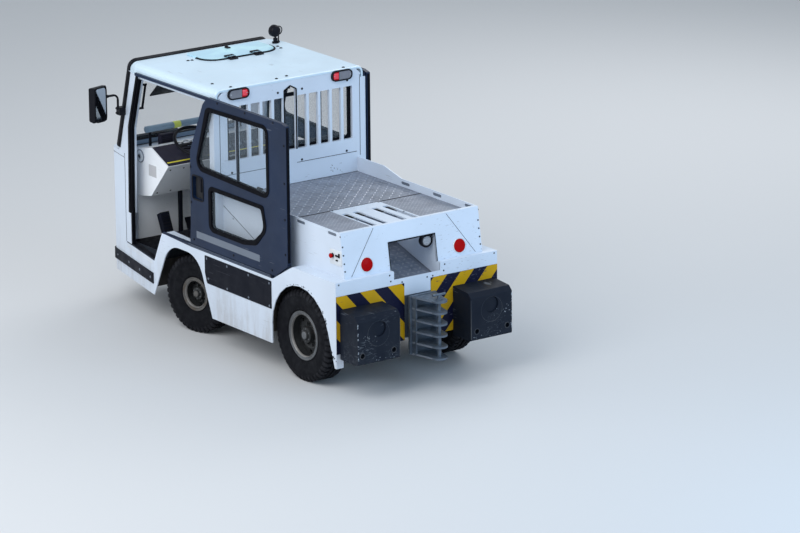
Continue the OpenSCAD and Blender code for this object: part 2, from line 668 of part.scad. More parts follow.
// Rubber strips along the doorway's front edge, and the rear window behind the grille with its seal
module jamb_strip() translate([taper_x, half_w, 0]) rotate(-yaw) side(-4, 24) {
    top = roof_edge_z - roof_rail_h - touch;
    share = roof_rail_h / (roof_edge_z - pillar_mid.y);
    line = [[side_u(pillar_top_x + (pillar_mid.x - pillar_top_x) * share), top], [side_u(pillar_mid.x), pillar_mid.y],
        [side_u(pillar_low.x), pillar_low.y], [side_u(pillar_low.x), entry_z + touch]];
    polygon(concat([for (p = line) p - [touch, 0]], [for (i = [len(line) - 1:-1:0]) line[i] - [jamb_w, 0]]));
}
module rear_pane(t) {
    half = slot_n * slot_pitch / 2 - 12;
    polygon(rounded([[-half + t, slot_foot - 6 + t], [half - t, slot_foot - 6 + t],
        [half - t, slot_top + 22 - t], [-half + t, slot_top + 22 - t]], 46 - t, 4));
}
module cab_seals() color(rubber) place() {
    both() jamb_strip();
    cross(cab_rear + wall_t + touch, 14) difference() {
        rear_pane(0);
        rear_pane(rear_seal_w);
    }
}
module rear_window() color(clear) place() cross(cab_rear + wall_t + 5, 5) rear_pane(rear_seal_w + touch);
module rear_wall() color(body_white) place() {
    difference() {
        cross(cab_rear, wall_t) difference() {
            top = roof_z - roof_t - 5;
            polygon([[-post_y0, floor_z - 8], [post_y0, floor_z - 8], [post_y0, top - 34],
                [596, top], [-596, top], [-post_y0, top - 34]]);
            for (i = [0:slot_n - 1]) {
                y = (i - (slot_n - 1) / 2) * slot_pitch;
                polygon(y == 0 ? [[-50, slot_foot], [50, slot_foot], [50, slot_top + 55], [0, slot_top + 81],
                        [-50, slot_top + 55]]
                    : rounded(box2(y - slot_w / 2, y + slot_w / 2, slot_foot, slot_top), 6, 2));
            }
        }
    }
}

// Windscreen, in the leaning plane that starts at its foot
module in_screen() place() translate([screen_foot_x, 0, screen_foot_z]) rotate([0, -screen_lean, 0]) children();
screen_len = screen_rise / cos(screen_lean);
screen_half = front_side_y(screen_foot_x) - 1;
screen_top_half = front_side_y(roof_front) - 1;
screen_r = [30, 30, 58, 58];
screen_t = 30;
function screen_outline(t) = let (k = t)
    [[-screen_half + k, k], [screen_half - k, k], [screen_top_half - k, screen_len - k],
        [-screen_top_half + k, screen_len - k]];
module windscreen_frame() color(black) in_screen() {
    cross(-screen_back, screen_t) difference() {
        polygon(rounded(screen_outline(0), screen_r, 5));
        polygon(rounded(screen_outline(screen_frame), 60, 4));
    }
    wiper();
}
// Wiper with its spindle on the lower bar of the frame, parked with the blade along that bar
wiper_y = 250;
wiper_mid = screen_frame + 14;
blade_len = 440;
module wiper() {
    face = screen_t - screen_back + touch;
    translate([face, 0, screen_frame / 2]) {
        rotate([0, 90, 0]) cylinder(h = 20, r = 15);
        translate([10, 0, 0]) rotate([-atan2(wiper_y, wiper_mid - screen_frame / 2), 0, 0])
            translate([0, -8, 0]) cube([8, 16, norm([wiper_y, wiper_mid - screen_frame / 2])]);
    }
    block(12 + touch, face + 12, wiper_y - blade_len / 2, wiper_y + blade_len / 2, wiper_mid - 5, wiper_mid + 5);
}
module windscreen() color(clear) in_screen() cross(6, 6) polygon(rounded(screen_outline(screen_frame + touch), 60, 4));

// Roof: a shell with rounded edges, lofted through a few cross sections
roof_edge_r = 46;
// Station, half width and top height of each section
roof_sections = [[cab_rear, roof_half - 6, roof_z - 4], [cab_rear + 14, roof_half, roof_z], [2060, roof_half, roof_z],
    [2180, roof_half - 8, roof_z - 3], [roof_front - 40, roof_half - 30, roof_z - 8],
    [roof_front, roof_half - 42, roof_z - roof_nose_drop]];
function roof_arc(half, top, r, k) = [for (a = [0:22.5:90]) [(half - r + r * cos(a)), top - r + r * sin(a)]];
function roof_loop(s) = let (half = s[1], top = s[2], r = roof_edge_r, t = roof_t,
    outer = concat([[half, roof_edge_z]], roof_arc(half, top, r)),
    inner = concat([[half - t, roof_edge_z]], roof_arc(half - t, top - t, r - t)))
    [for (p = concat(outer, [for (i = [len(outer) - 1:-1:0]) [-outer[i].x, outer[i].y]], [for (p = inner) [-p.x, p.y]],
        [for (i = [len(inner) - 1:-1:0]) inner[i]])) [s[0], p.x, p.y]];
module loft(loops) {
    n = len(loops[0]);
    m = len(loops);
    last = (m - 1) * n;
    polyhedron(points = [for (l = loops) each l], faces = concat(
        [for (i = [0:n / 2 - 2]) each [[i, i + 1, n - 2 - i], [i, n - 2 - i, n - 1 - i]]],
        [for (i = [0:n / 2 - 2]) each [[last + n - 2 - i, last + i + 1, last + i],
            [last + n - 1 - i, last + n - 2 - i, last + i]]],
        [for (j = [0:m - 2]) for (i = [0:n - 1]) let (k = (i + 1) % n)
            each [[j * n + i, (j + 1) * n + i, (j + 1) * n + k], [j * n + i, (j + 1) * n + k, j * n + k]]]));
}
hatch_lap = 16;
hatch_r = 120;
function hatch_plan(t) = rounded(box2(hatch_x + hinge_r + 6 + t, hatch_x + hatch_len - t, hatch_y0 + t, hatch_y1 - t),
    [hatch_r - t, 24 - t, 24 - t, hatch_r - t], 6);
module roof() color(body_white) place() difference() {
    loft([for (s = roof_sections) roof_loop(s)]);
    flat(roof_z - 60, 80) polygon(hatch_plan(hatch_lap));
    // Seat of the windscreen's frame
    translate([screen_foot_x, 0, screen_foot_z]) rotate([0, -screen_lean, 0])
        block(-screen_back - touch, 200, -800, 800, 0, screen_len + touch);
}
hinge_y = [-4, -236];
hinge_r = 9;
hinge_half = 34;
hinge_pin_r = 4;
knuckle_w = 12;
hinge_z = roof_z + hinge_r + 1;
module roof_hatch() color([0.55, 0.78, 0.92]) place() {
    flat(roof_z + touch, hatch_t) polygon(hatch_plan(0));
    for (y = hinge_y) difference() {
        union() {
            translate([hatch_x, y - knuckle_w, hinge_z]) across() cylinder(h = 2 * knuckle_w, r = hinge_r);
            block(hatch_x, hatch_x + hinge_r + 8, y - knuckle_w, y + knuckle_w, hinge_z, hinge_z + hinge_r);
            block(hatch_x + hinge_r + 7, hatch_x + 48, y - hinge_half, y + hinge_half, roof_z + hatch_t,
                hinge_z + hinge_r);
        }
        translate([hatch_x, y - 40, hinge_z]) across() cylinder(h = 80, r = hinge_pin_r + run_fit);
    }
}
// Fixed leaves of the hatch hinges, with their outer knuckles and the pins
module hatch_hinges() color(black) place() for (y = hinge_y) {
    outer = hinge_half - knuckle_w - 0.5;
    for (foot = [y - hinge_half, y + knuckle_w + 0.5]) {
        translate([hatch_x, foot, hinge_z]) across() cylinder(h = outer, r = hinge_r);
        block(hatch_x - 26, hatch_x, foot, foot + outer, roof_z + touch, roof_z + 8);
    }
    block(hatch_x - 36, hatch_x - hinge_r - 5, y - hinge_half, y + hinge_half, roof_z + touch, roof_z + 8);
    translate([hatch_x, y - hinge_half, hinge_z]) across() cylinder(h = 2 * hinge_half, r = hinge_pin_r);
}
sill_rail_x = [300, fender_x];
head_rail_x = [cab_rear + 2, 2140];
head_rail_z = [roof_edge_z + 2, roof_edge_z + 24];
module door_rails() color([0.24, 0.26, 0.30]) place() both() {
    side(door_y + door_t - 4, door_t - 6) polygon([[sill_rail_x[0], sill_z], [1370, sill_z], [fender_x, fender_z],
        [sill_rail_x[1], door_foot - 6], [sill_rail_x[0], door_foot - 6]]);
    block(head_rail_x[0], head_rail_x[1], roof_half, door_y - 6, head_rail_z[0], head_rail_z[1]);
}

// Sliding doors, drawn in the open place on the left side
// Corners of the door's outline as distances from its rear edge, and heights
function door_outline() = rounded([[158, door_foot], [door_len, door_foot], [door_len - 12, 900],
    [door_len - 20, door_top - 452], [door_len - 198, door_top - 66], [door_len - 258, door_top], [60, door_top],
    [0, door_top - 14], [0, 852]],
    [8, 8, 0, 120, 40, 20, 10, 12, 12], 5);
function upper_window(t) = rounded([[232 + t, 1310 + t], [door_len - 92 - t, 1338 + t],
    [door_len - 259 - t, door_top - 82 - t], [236 + t, door_top - 66 - t]],
    [60 - t, 70 - t, 50 - t, 60 - t], 6);
function lower_window(t) = rounded([[312 + t, 1225 - t], [270 + t, 1060], [405 + t, 930 + t], [560, 900 + t],
    [door_len - 271 - t, 900 + t], [door_len - 271 - t, 1225 - t]], [24, 90, 90, 60, 50 - t, 40 - t], 5);
function grip_hole() = rounded(box2(door_len - 185, door_len - 51, 1100, 1272), [16, 16, 16, 16], 4);
shoe_x = [260, 640];
seal_w = 20;
seal_lap = 12;
seal_out = 4;
seal_in = 2.5;
mullion_x = door_len - 642;
mullion_w = 16;
module mullion_bar(g) translate([mullion_x - g, 0]) square([mullion_w + 2 * g, door_top]);
module in_door() translate([door_open_x, 0, 0]) children();
module door_frame() color(slate) in_door() {
    side(door_y + door_t, door_t) difference() {
        polygon(door_outline());
        polygon(upper_window(0));
        polygon(lower_window(0));
        polygon(grip_hole());
    }
    for (x = shoe_x) block(x - 30, x + 30, door_y + 6, door_y + door_t - 8, door_foot - 6 + touch, door_foot + 2);
    block(door_len - 268, door_len - 240, door_y - 6 + touch, door_y + 2, head_rail_z[0] + 2, head_rail_z[1] - 2);
}
module seal_ring(upper, t) difference() {
    polygon(upper ? upper_window(t) : lower_window(t));
    polygon(upper ? upper_window(seal_w) : lower_window(seal_w));
}
// Rubber seals of both windows, with a lip over the outer face, and the bar between the two upper panes
module door_sealing() color(rubber) in_door() {
    for (upper = [true, false]) {
        side(door_y + door_t + seal_out, door_t + seal_out + seal_in) seal_ring(upper, touch);
        side(door_y + door_t + seal_out, seal_out - touch) seal_ring(upper, -seal_lap);
    }
    side(door_y + door_t / 2 + 8, 16) intersection() {
        polygon(upper_window(seal_w - 2));
        mullion_bar(0);
    }
}
module door_glazing() color(clear) in_door() side(door_y + door_t / 2 + 3, 6) {
    difference() {
        polygon(upper_window(seal_w + touch));
        mullion_bar(touch);
    }
    polygon(lower_window(seal_w + touch));
}
module door_left_seals() place() door_sealing();
module door_right_seals() closed_right() door_sealing();
module door_left() place() door_frame();
module door_left_glass() place() door_glazing();
module closed_right() place() mirror([0, 1, 0]) translate([door_travel, 0, 0]) children();
module door_right() closed_right() door_frame();
module door_right_glass() closed_right() door_glazing();

// Inside the cab
dash_half = 500;
dash_rear = [cowl_x - 445, cowl_z - 33];
dash_crest = [cowl_x - 215, cowl_z + 69];
dash_knee = [cowl_x - 200, cowl_z - 311];
dash_toe = [cowl_x - 17, cowl_z - 344];
module dash() color([0.80, 0.84, 0.90]) place() side(dash_half, 2 * dash_half)
    polygon([[cowl_x - 2, cowl_z - skin - 2], [cowl_x - 15, cowl_z + 24], dash_crest, dash_rear, dash_knee, dash_toe,
        [cowl_x - 10, entry_z], [cowl_x, entry_z]]);
cover_t = 5;
column_lean = atan2(dash_crest.y - dash_rear.y, dash_crest.x - dash_rear.x);
column_foot_z = dash_rear.y + (column_x - dash_rear.x) * tan(column_lean);
module on_column() place() translate([column_x, column_y, column_foot_z]) rotate([0, -column_lean, 0]) children();
// Dark cover on the sloping top of the dash, and the air vent on the cowl
module dash_cover() color(black) {
    back = (column_x - dash_rear.x) / cos(column_lean) - 6;
    ahead = (dash_crest.x - column_x) / cos(column_lean) - 4;
    on_column() block(-back, ahead, -dash_half + 8 - column_y, dash_half - 8 - column_y, touch, touch + cover_t);
    place() block(cowl_x + 12, cowl_x + 56, 142, 264, cowl_z + touch, cowl_z + 86);
}
// Grab handles: on the inner faces of the front pillars, and on the rear wall over the deck
handle_r = 9;
pillar_handle = 215;
module handle(length, reach) {
    for (z = [0, length]) translate([0, 0, z]) across() cylinder(h = reach + handle_r, r = handle_r);
    translate([0, reach, 0]) cylinder(h = length, r = handle_r);
}
wall_handle_y = [300, 408];
module grab_handles() color(black) place() {
    both() translate([taper_x, half_w, 0]) rotate(-yaw) translate([side_u(2320), -pillar_t - touch, 1555])
        rotate([0, -21.5, 0]) mirror([0, 1, 0]) handle(pillar_handle, 72);
    translate([cab_rear - touch, wall_handle_y[0], deck_z + 17]) rotate([-90, 0, 0]) rotate(90)
        handle(wall_handle_y[1] - wall_handle_y[0], 45);
}
shaft_x = 2300;
module steering_column() color(black) {
    on_column() translate([0, 0, cover_t + 2 * touch]) cylinder(h = column_len - 12 - cover_t - touch, r = 30);
    // Lower shaft, up to the underside of the dash
    place() difference() {
        translate([shaft_x, column_y - 5, entry_z]) cylinder(h = dash_knee.y + 20 - entry_z, r = 18);
        side(column_y + 40, 90) polygon([dash_knee - [0, touch], dash_toe - [0, touch], dash_toe + [0, 200],
            dash_knee + [0, 200]]);
    }
}
module steering_wheel() color(black) on_column() translate([0, 0, column_len]) {
    rotate_extrude($fn = 72) translate([wheel_r, 0]) circle(r = wheel_tube, $fn = 24);
    translate([0, 0, -12 + 2 * touch]) cylinder(h = 30, r = 38);
    for (a = [90, 210, 330]) rotate(a) translate([30, -12, -5]) cube([wheel_r - 34, 24, 9]);
}
module pedals() color(black) place() {
    side(448, 76) polygon([[2085, entry_z], [2142, entry_z], [2242, 722], [2190, 750]]);
    for (y = [60, 290]) side(y + 28, 56) polygon([[2352, entry_z], [2364, entry_z], [2412, 600], [2402, 606]]);
}
seat_y = [225, -300];
seat_half = 225;
cushion_z = 840;
module seats() color(black) place() for (y = seat_y) {
    side(y + seat_half, 2 * seat_half) polygon(rounded([[1240, cushion_z + touch], [1700, cushion_z + touch], [1712, 940],
        [1690, 956], [1306, 940], [1240, 940]], [20, 30, 20, 30, 0, 20], 4));
    side(y + seat_half - 10, 2 * seat_half - 20) polygon(rounded([[1190, 925], [1296, 925], [1240, 1450], [1140, 1450]],
        [20, 10, 40, 40], 4));
}
module seat_bases() color([0.2, 0.2, 0.22]) place() for (y = seat_y)
    block(1260, 1660, y - 190, y + 190, floor_z, cushion_z);

// Mirrors, lamps and beacon; each mirror's head is turned towards the driver
mirror_z = 1608;
mirror_turn = 13;
module mirrors() color(black) place() both() {
    difference() {
        block(2385, 2436, 590, 664, 1500, 1560);
        translate([taper_x, half_w + touch, 0]) rotate(-yaw) translate([0, -400, 0]) cube([1000, 400, 3000]);
    }
    translate([2425, 655, 1540]) cylinder(h = 76, r = 9);
    translate([2425, 695, 1615]) rotate([90, 0, 90]) rotate(90) rotate_extrude(angle = 90, $fn = 48)
        translate([40, 0]) circle(r = 8, $fn = 16);
    translate([2425, 694, 1655]) across() cylinder(h = mirror_out - mirror_w + 24 - 694, r = 9);
    translate([2425, mirror_out - mirror_w / 2, mirror_z]) rotate(mirror_turn) side(mirror_w / 2, mirror_w)
        polygon(rounded([[-30, -mirror_h / 2], [30, 10 - mirror_h / 2], [30, mirror_h / 2 - 8],
            [-30, mirror_h / 2]], 14, 4));
}
// Upper rear lamps: red towards the middle and clear outside the seam
pill_y = [380, 545];
pill_seam = 434;
module pill(y0, y1) cross(cab_rear - 14, 14) intersection() {
    polygon(rounded(box2(pill_y[0], pill_y[1], roof_z - 76, roof_z - 16), 28, 4));
    translate([y0, 0]) square([y1 - y0, roof_z]);
}
module red_lamps() color(lamp_red) place() both() {
    translate([lean_x(936), 411, 936]) rotate([0, -90 + atan2(upper_foot - upper_top, lip_z - ledge_z), 0])
        rotate_extrude() polygon([[0, 0], [50, 0], [50, 7], [45, 12], [0, 15]]);
    pill(pill_y[0], pill_seam);
}
module clear_lamps() color([0.85, 0.88, 0.9]) place() {
    both() for (y = [300, 400]) translate([nose_x, y, 640]) rotate([0, 90, 0])
        rotate_extrude() polygon([[0, 0], [46, 0], [46, 9], [40, 12], [36, 8], [24, 13], [0, 16]]);
    both() pill(pill_seam + touch, pill_y[1]);
    // Work lamp in the recess, on its stub from the recess's side
    translate([lean_x(1000) + skin + 50, -147, 1010]) {
        rotate([0, -90, 0]) cylinder(h = 30, r = 46);
        translate([-24, -recess_w / 2 + 147, -12]) cube([16, 16, 24]);
    }
}
beacon_up = 92;
beacon_r = 46;
cable_gap = 34;
cable_bend = 32;
module beacon() color(black) place() translate([2070, -548, roof_z + touch]) {
    cylinder(h = 10, r = 26);
    cylinder(h = 60, r = 8);
    translate([0, 0, beacon_up]) rotate([0, 90, 0]) rotate_extrude()
        polygon([[0, -24], [18, -24], [36, -16], [44, -4], [beacon_r, 6], [beacon_r, 26], [40, 30], [0, 26]]);
    // Cable in a loop from the lamp to its gland on the roof
    translate([8, -cable_gap, beacon_up]) rotate([90, 0, 90]) rotate(90) rotate_extrude(angle = 180)
        translate([cable_bend, 0]) circle(r = 4, $fn = 16);
    translate([8, -cable_gap, 0]) cylinder(h = beacon_up - cable_bend, r = 5);
}

chassis();
power_unit();
rear_axle();
front_axle();
knuckle_left();
knuckle_right();
tie_rod();
rim_front_left();
rim_front_right();
rim_rear_left();
rim_rear_right();
tyre_front_left();
tyre_front_right();
tyre_rear_left();
tyre_rear_right();
body_left();
body_right();
skirt_plates();
rear_panel();
hazard_plates();
hazard_stripes();
rear_box();
recess_step();
deck_plates();
deck_cover();
ballast_blocks();
hitch_tower();
hitch_pin();
front_shell();
bumper();
front_hitch();
cab_floor();
cab_frame();
rear_wall();
windscreen_frame();
windscreen();
roof();
roof_hatch();
door_rails();
door_left();
door_left_seals();
door_left_glass();
door_right();
door_right_seals();
door_right_glass();
cab_seals();
rear_window();
hatch_hinges();
grab_handles();
dash();
dash_cover();
steering_column();
steering_wheel();
pedals();
seats();
seat_bases();
mirrors();
red_lamps();
clear_lamps();
beacon();
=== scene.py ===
import json
import math
import random

import bmesh
import bpy
from mathutils import Matrix, Vector


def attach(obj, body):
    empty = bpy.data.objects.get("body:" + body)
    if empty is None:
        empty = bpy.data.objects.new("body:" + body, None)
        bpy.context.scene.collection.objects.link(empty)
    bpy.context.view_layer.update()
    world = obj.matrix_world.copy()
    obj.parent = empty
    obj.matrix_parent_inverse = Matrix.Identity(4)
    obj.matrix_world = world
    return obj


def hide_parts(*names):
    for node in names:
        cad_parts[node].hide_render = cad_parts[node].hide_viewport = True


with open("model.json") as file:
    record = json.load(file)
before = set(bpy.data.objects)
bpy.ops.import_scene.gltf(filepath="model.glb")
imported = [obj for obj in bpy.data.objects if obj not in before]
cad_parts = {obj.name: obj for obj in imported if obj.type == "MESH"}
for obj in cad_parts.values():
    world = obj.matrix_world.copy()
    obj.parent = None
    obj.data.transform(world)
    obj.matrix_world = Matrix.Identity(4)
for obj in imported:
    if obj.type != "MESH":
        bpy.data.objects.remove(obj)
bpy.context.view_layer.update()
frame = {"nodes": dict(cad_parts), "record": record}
scene = bpy.context.scene
print("frame loaded:", len(frame["nodes"]), "nodes")

# Every place below is in metres: x from the rear axle, y to the left, z up
axleX = -1.0
chance = random.Random(7)
upward, forward, rearward, leftward = (0, 0, 1), (1, 0, 0), (-1, 0, 0), (0, 1, 0)


# Camera, light and floor
cameraSpec = {
    "place": (-27.7264, 19.65, 10.5032), "yaw": -35.6149, "pitch": -16.0237, "roll": -0.5182,
    "lens": 218.716, "sensor": 36, "clipEnd": 500,
}


def buildCamera(spec):
    yaw, pitch, roll = (math.radians(spec[k]) for k in ("yaw", "pitch", "roll"))
    ahead = Vector((math.cos(pitch) * math.cos(yaw), math.cos(pitch) * math.sin(yaw), math.sin(pitch)))
    right = ahead.cross(Vector(upward)).normalized()
    up = right.cross(ahead)
    turnedRight = right * math.cos(roll) + up * math.sin(roll)
    turnedUp = up * math.cos(roll) - right * math.sin(roll)
    data = bpy.data.cameras.new("camera")
    data.sensor_width = spec["sensor"]
    data.lens = spec["lens"]
    data.clip_end = spec["clipEnd"]
    camera = bpy.data.objects.new("camera", data)
    scene.collection.objects.link(camera)
    turn = Matrix((turnedRight, turnedUp, -ahead)).transposed()
    x, y, z = spec["place"]
    camera.matrix_world = Matrix.Translation((x + axleX, y, z)) @ turn.to_4x4()
    scene.camera = camera


lightSpec = {
    "lamps": {
        "key": {"place": (-2.5, 7.0, 7.5), "size": 7.0, "power": 530, "colour": (1.0, 1.0, 1.0)},
        "side": {"place": (4.5, 7.0, 4.5), "size": 6.0, "power": 120, "colour": (1.0, 1.0, 1.0)},
        "back": {"place": (3.5, -7.5, 6.5), "size": 6.0, "power": 280, "colour": (1.0, 1.0, 1.0)},
        "rear": {"place": (-8.5, -2.0, 3.5), "size": 5.0, "power": 245, "colour": (0.45, 0.71, 1.0)},
    },
    "aim": (0, 0, 0.9), "worldColour": (0.84, 0.92, 1.0), "worldStrength": 0.60,
    "floorColour": (0.62, 0.63, 0.645), "floorRough": 0.9, "floorHalf": 120,
}


def buildStudio(spec):
    for name, lamp in spec["lamps"].items():
        data = bpy.data.lights.new(name, "AREA")
        data.energy = lamp["power"]
        data.color = lamp["colour"]
        data.size = lamp["size"]
        light = bpy.data.objects.new(name, data)
        scene.collection.objects.link(light)
        light.location = lamp["place"]
        aim = Vector(spec["aim"]) - Vector(lamp["place"])
        light.rotation_euler = aim.to_track_quat("-Z", "Y").to_euler()
    world = bpy.data.worlds.new("studio")
    world.use_nodes = True
    sky = world.node_tree.nodes["Background"]
    sky.inputs["Color"].default_value = (*spec["worldColour"], 1)
    sky.inputs["Strength"].default_value = spec["worldStrength"]
    scene.world = world
    mesh = bpy.data.meshes.new("floor")
    half = spec["floorHalf"]
    mesh.from_pydata([(x, y, 0) for x, y in rectangle(-half, half, -half, half)], [], [(0, 1, 2, 3)])
    floor = bpy.data.objects.new("floor", mesh)
    scene.collection.objects.link(floor)
    mesh.materials.append(plainMaterial("floor_paper", spec["floorColour"], spec["floorRough"]))


# What shader trees and geometry trees share
class NodeMaker:
    clamped = False

    def __init__(self, tree):
        self.tree = tree

    def add(self, kind, **values):
        node = self.tree.nodes.new(kind)
        for key, value in values.items():
            setattr(node, key, value)
        return node

    def join(self, out, into):
        self.tree.links.new(out, into)

    # A number or a colour is set on the input, another node's output is linked to it
    def feed(self, value, into):
        if isinstance(value, (int, float)):
            into.default_value = value
        elif isinstance(value, tuple):
            into.default_value = (*value[:3], 1)
        else:
            self.join(value, into)

    def calc(self, operation, a, b):
        node = self.add("ShaderNodeMath", operation=operation, use_clamp=self.clamped)
        self.feed(a, node.inputs[0])
        self.feed(b, node.inputs[1])
        return node.outputs["Value"]

    def times(self, value, *factors):
        for factor in factors:
            value = self.calc("MULTIPLY", value, factor)
        return value

    def plus(self, a, b):
        return self.calc("ADD", a, b)


# Materials
def plainMaterial(name, colour, roughness, metallic=0.0):
    material = bpy.data.materials.new(name)
    material.use_nodes = True
    shader = material.node_tree.nodes["Principled BSDF"]
    shader.inputs["Base Color"].default_value = (*colour[:3], 1)
    shader.inputs["Roughness"].default_value = roughness
    shader.inputs["Metallic"].default_value = metallic
    return material


class Bench(NodeMaker):
    clamped = True

    def __init__(self, material):
        super().__init__(material.node_tree)
        self.material = material
        self.shader = self.tree.nodes["Principled BSDF"]
        self.place = self.add("ShaderNodeTexCoord").outputs["Object"]

    def lay(self, name, value):
        self.feed(value, self.shader.inputs[name])

    def noise(self, scale, detail=3.0, rough=0.55, stretch=None, spin=None):
        node = self.add("ShaderNodeTexNoise")
        for key, number in (("Scale", scale), ("Detail", detail), ("Roughness", rough)):
            node.inputs[key].default_value = number
        place = self.place
        if stretch:
            mapping = self.add("ShaderNodeMapping")
            mapping.inputs["Scale"].default_value = stretch
            if spin:
                mapping.inputs["Rotation"].default_value = spin
            self.join(place, mapping.inputs["Vector"])
            place = mapping.outputs["Vector"]
        self.join(place, node.inputs["Vector"])
        return node.outputs["Fac"]

    def ramp(self, value, low, high, outLow=0.0, outHigh=1.0):
        node = self.add("ShaderNodeMapRange", interpolation_type="SMOOTHSTEP")
        for key, number in (("From Min", low), ("From Max", high), ("To Min", outLow), ("To Max", outHigh)):
            node.inputs[key].default_value = number
        self.join(value, node.inputs["Value"])
        return node.outputs["Result"]

    def height(self):
        node = self.add("ShaderNodeSeparateXYZ")
        self.join(self.place, node.inputs["Vector"])
        return node.outputs["Z"]

    def mix(self, factor, a, b):
        node = self.add("ShaderNodeMix", data_type="RGBA")
        self.feed(factor, node.inputs["Factor"])
        for socket, value in zip([s for s in node.inputs if s.type == "RGBA"], (a, b)):
            self.feed(value, socket)
        return [s for s in node.outputs if s.type == "RGBA"][0]

    def bump(self, value, strength, distance):
        node = self.add("ShaderNodeBump")
        node.inputs["Strength"].default_value = strength
        node.inputs["Distance"].default_value = distance
        self.join(value, node.inputs["Height"])
        self.lay("Normal", node.outputs["Normal"])


def paintMaterial(name, colour, **changes):
    spec = {
        "shade": 0.92, "patch": 1.7, "rough": (0.30, 0.48), "grime": (0.30, 0.27, 0.24), "grimeTop": 0.75,
        "grimeShare": 0.45, "scratch": 0.45, "scratchColour": (0.22, 0.23, 0.25), "orange": 0.05,
        "coat": 0.25, "coatRough": 0.25, "scratchFrom": 0.675, "gloss": 0.5, **changes,
    }
    bench = Bench(plainMaterial(name, colour, 0.4))
    shadeColour = tuple(c * spec["shade"] for c in colour)
    toned = bench.mix(bench.ramp(bench.noise(spec["patch"], 3), 0.35, 0.7), colour, shadeColour)
    low = bench.ramp(bench.height(), spec["grimeTop"], 0.15)
    streak = bench.ramp(bench.noise(9, 5, 0.65, (1, 1, 0.22)), 0.42, 0.72)
    speck = bench.ramp(bench.noise(46, 3, 0.7), 0.64, 0.74)
    dirt = bench.plus(bench.times(low, spec["grimeShare"], bench.plus(streak, 0.25)),
                      bench.times(speck, 0.05))
    toned = bench.mix(dirt, toned, spec["grime"])
    # Thin scratches where a slower noise lets them through, and a few swirled ones low down
    start = spec["scratchFrom"]
    line = bench.ramp(bench.noise(26, 2, 0.4, (0.25, 1, 5), (0.2, 0.5, 0.1)), start, start + 0.03)
    chips = bench.times(line, bench.ramp(bench.noise(3.1, 2), 0.50, 0.64))
    swirl, swirlEnd = (bench.ramp(bench.noise(7.5, 6, 0.62, (1, 1, 1.6)), *span)
                       for span in ((0.497, 0.500), (0.503, 0.506)))
    thread = bench.times(bench.calc("SUBTRACT", swirl, swirlEnd), low,
                         bench.ramp(bench.noise(2.3, 2), 0.48, 0.6))
    marks = bench.plus(chips, bench.times(thread, 0.8))
    toned = bench.mix(bench.times(marks, spec["scratch"]), toned, spec["scratchColour"])
    bench.lay("Base Color", toned)
    bench.lay("Roughness", bench.ramp(bench.noise(7, 4), 0.3, 0.75, *spec["rough"]))
    bench.lay("Specular IOR Level", spec["gloss"])
    bench.lay("Coat Weight", spec["coat"])
    bench.lay("Coat Roughness", spec["coatRough"])
    bench.bump(bench.noise(60, 2), spec["orange"], 0.001)
    return bench.material


def rubberMaterial(name, colour, dust, dustShare=0.5, grain=180, depth=0.0006, rough=(0.72, 0.92),
                   gloss=0.18):
    bench = Bench(plainMaterial(name, colour, 0.8))
    worn = bench.ramp(bench.noise(14, 5, 0.6), 0.4, 0.75, 0.0, dustShare)
    bench.lay("Base Color", bench.mix(worn, colour, dust))
    bench.lay("Roughness", bench.ramp(bench.noise(25, 3), 0.3, 0.7, *rough))
    bench.lay("Specular IOR Level", gloss)
    bench.bump(bench.noise(grain, 3, 0.6), 0.5, depth)
    return bench.material


def metalMaterial(name, colour, **changes):
    spec = {
        "patch": 9, "dark": 0.6, "rough": (0.32, 0.6), "metallic": 0.85, "spangle": 0.0, "rust": 0.0,
        "rustColour": (0.16, 0.07, 0.03), "rustFrom": 0.60, "grain": 90, "grainDepth": 0.0008, **changes,
    }
    bench = Bench(plainMaterial(name, colour, 0.45, spec["metallic"]))
    darkColour = tuple(c * spec["dark"] for c in colour)
    toned = bench.mix(bench.ramp(bench.noise(spec["patch"], 5, 0.6), 0.35, 0.7), colour, darkColour)
    if spec["spangle"]:
        cells = bench.add("ShaderNodeTexVoronoi")
        cells.inputs["Scale"].default_value = 70
        bench.join(bench.place, cells.inputs["Vector"])
        split = bench.add("ShaderNodeSeparateColor")
        bench.join(cells.outputs["Color"], split.inputs["Color"])
        toned = bench.mix(bench.times(split.outputs["Red"], spec["spangle"]), toned, darkColour)
    if spec["rust"]:
        start = spec["rustFrom"]
        spots = bench.ramp(bench.noise(12, 6, 0.7), start, start + 0.12, 0.0, spec["rust"])
        toned = bench.mix(spots, toned, spec["rustColour"])
    bench.lay("Base Color", toned)
    bench.lay("Roughness", bench.ramp(bench.noise(30, 4), 0.3, 0.75, *spec["rough"]))
    bench.bump(bench.noise(spec["grain"], 3), 0.25, spec["grainDepth"])
    return bench.material


def plasticMaterial(name, colour, rough=(0.35, 0.55), grain=260, depth=0.0004, gloss=0.5):
    bench = Bench(plainMaterial(name, colour, 0.45))
    lighter = tuple(min(1, c * 1.25 + 0.006) for c in colour)
    bench.lay("Base Color", bench.mix(bench.ramp(bench.noise(5, 3), 0.40, 0.75), colour, lighter))
    bench.lay("Roughness", bench.ramp(bench.noise(8, 3), 0.3, 0.7, *rough))
    bench.lay("Specular IOR Level", gloss)
    bench.bump(bench.noise(grain, 2), 0.3, depth)
    return bench.material


def glassMaterial(name, tint, alpha):
    bench = Bench(plainMaterial(name, tint, 0.04))
    bench.material.blend_method = "BLEND"
    bench.lay("Alpha", alpha)
    bench.lay("IOR", 1.5)
    bench.lay("Roughness", bench.ramp(bench.noise(6, 4, 0.6), 0.45, 0.8, 0.01, 0.035))
    return bench.material


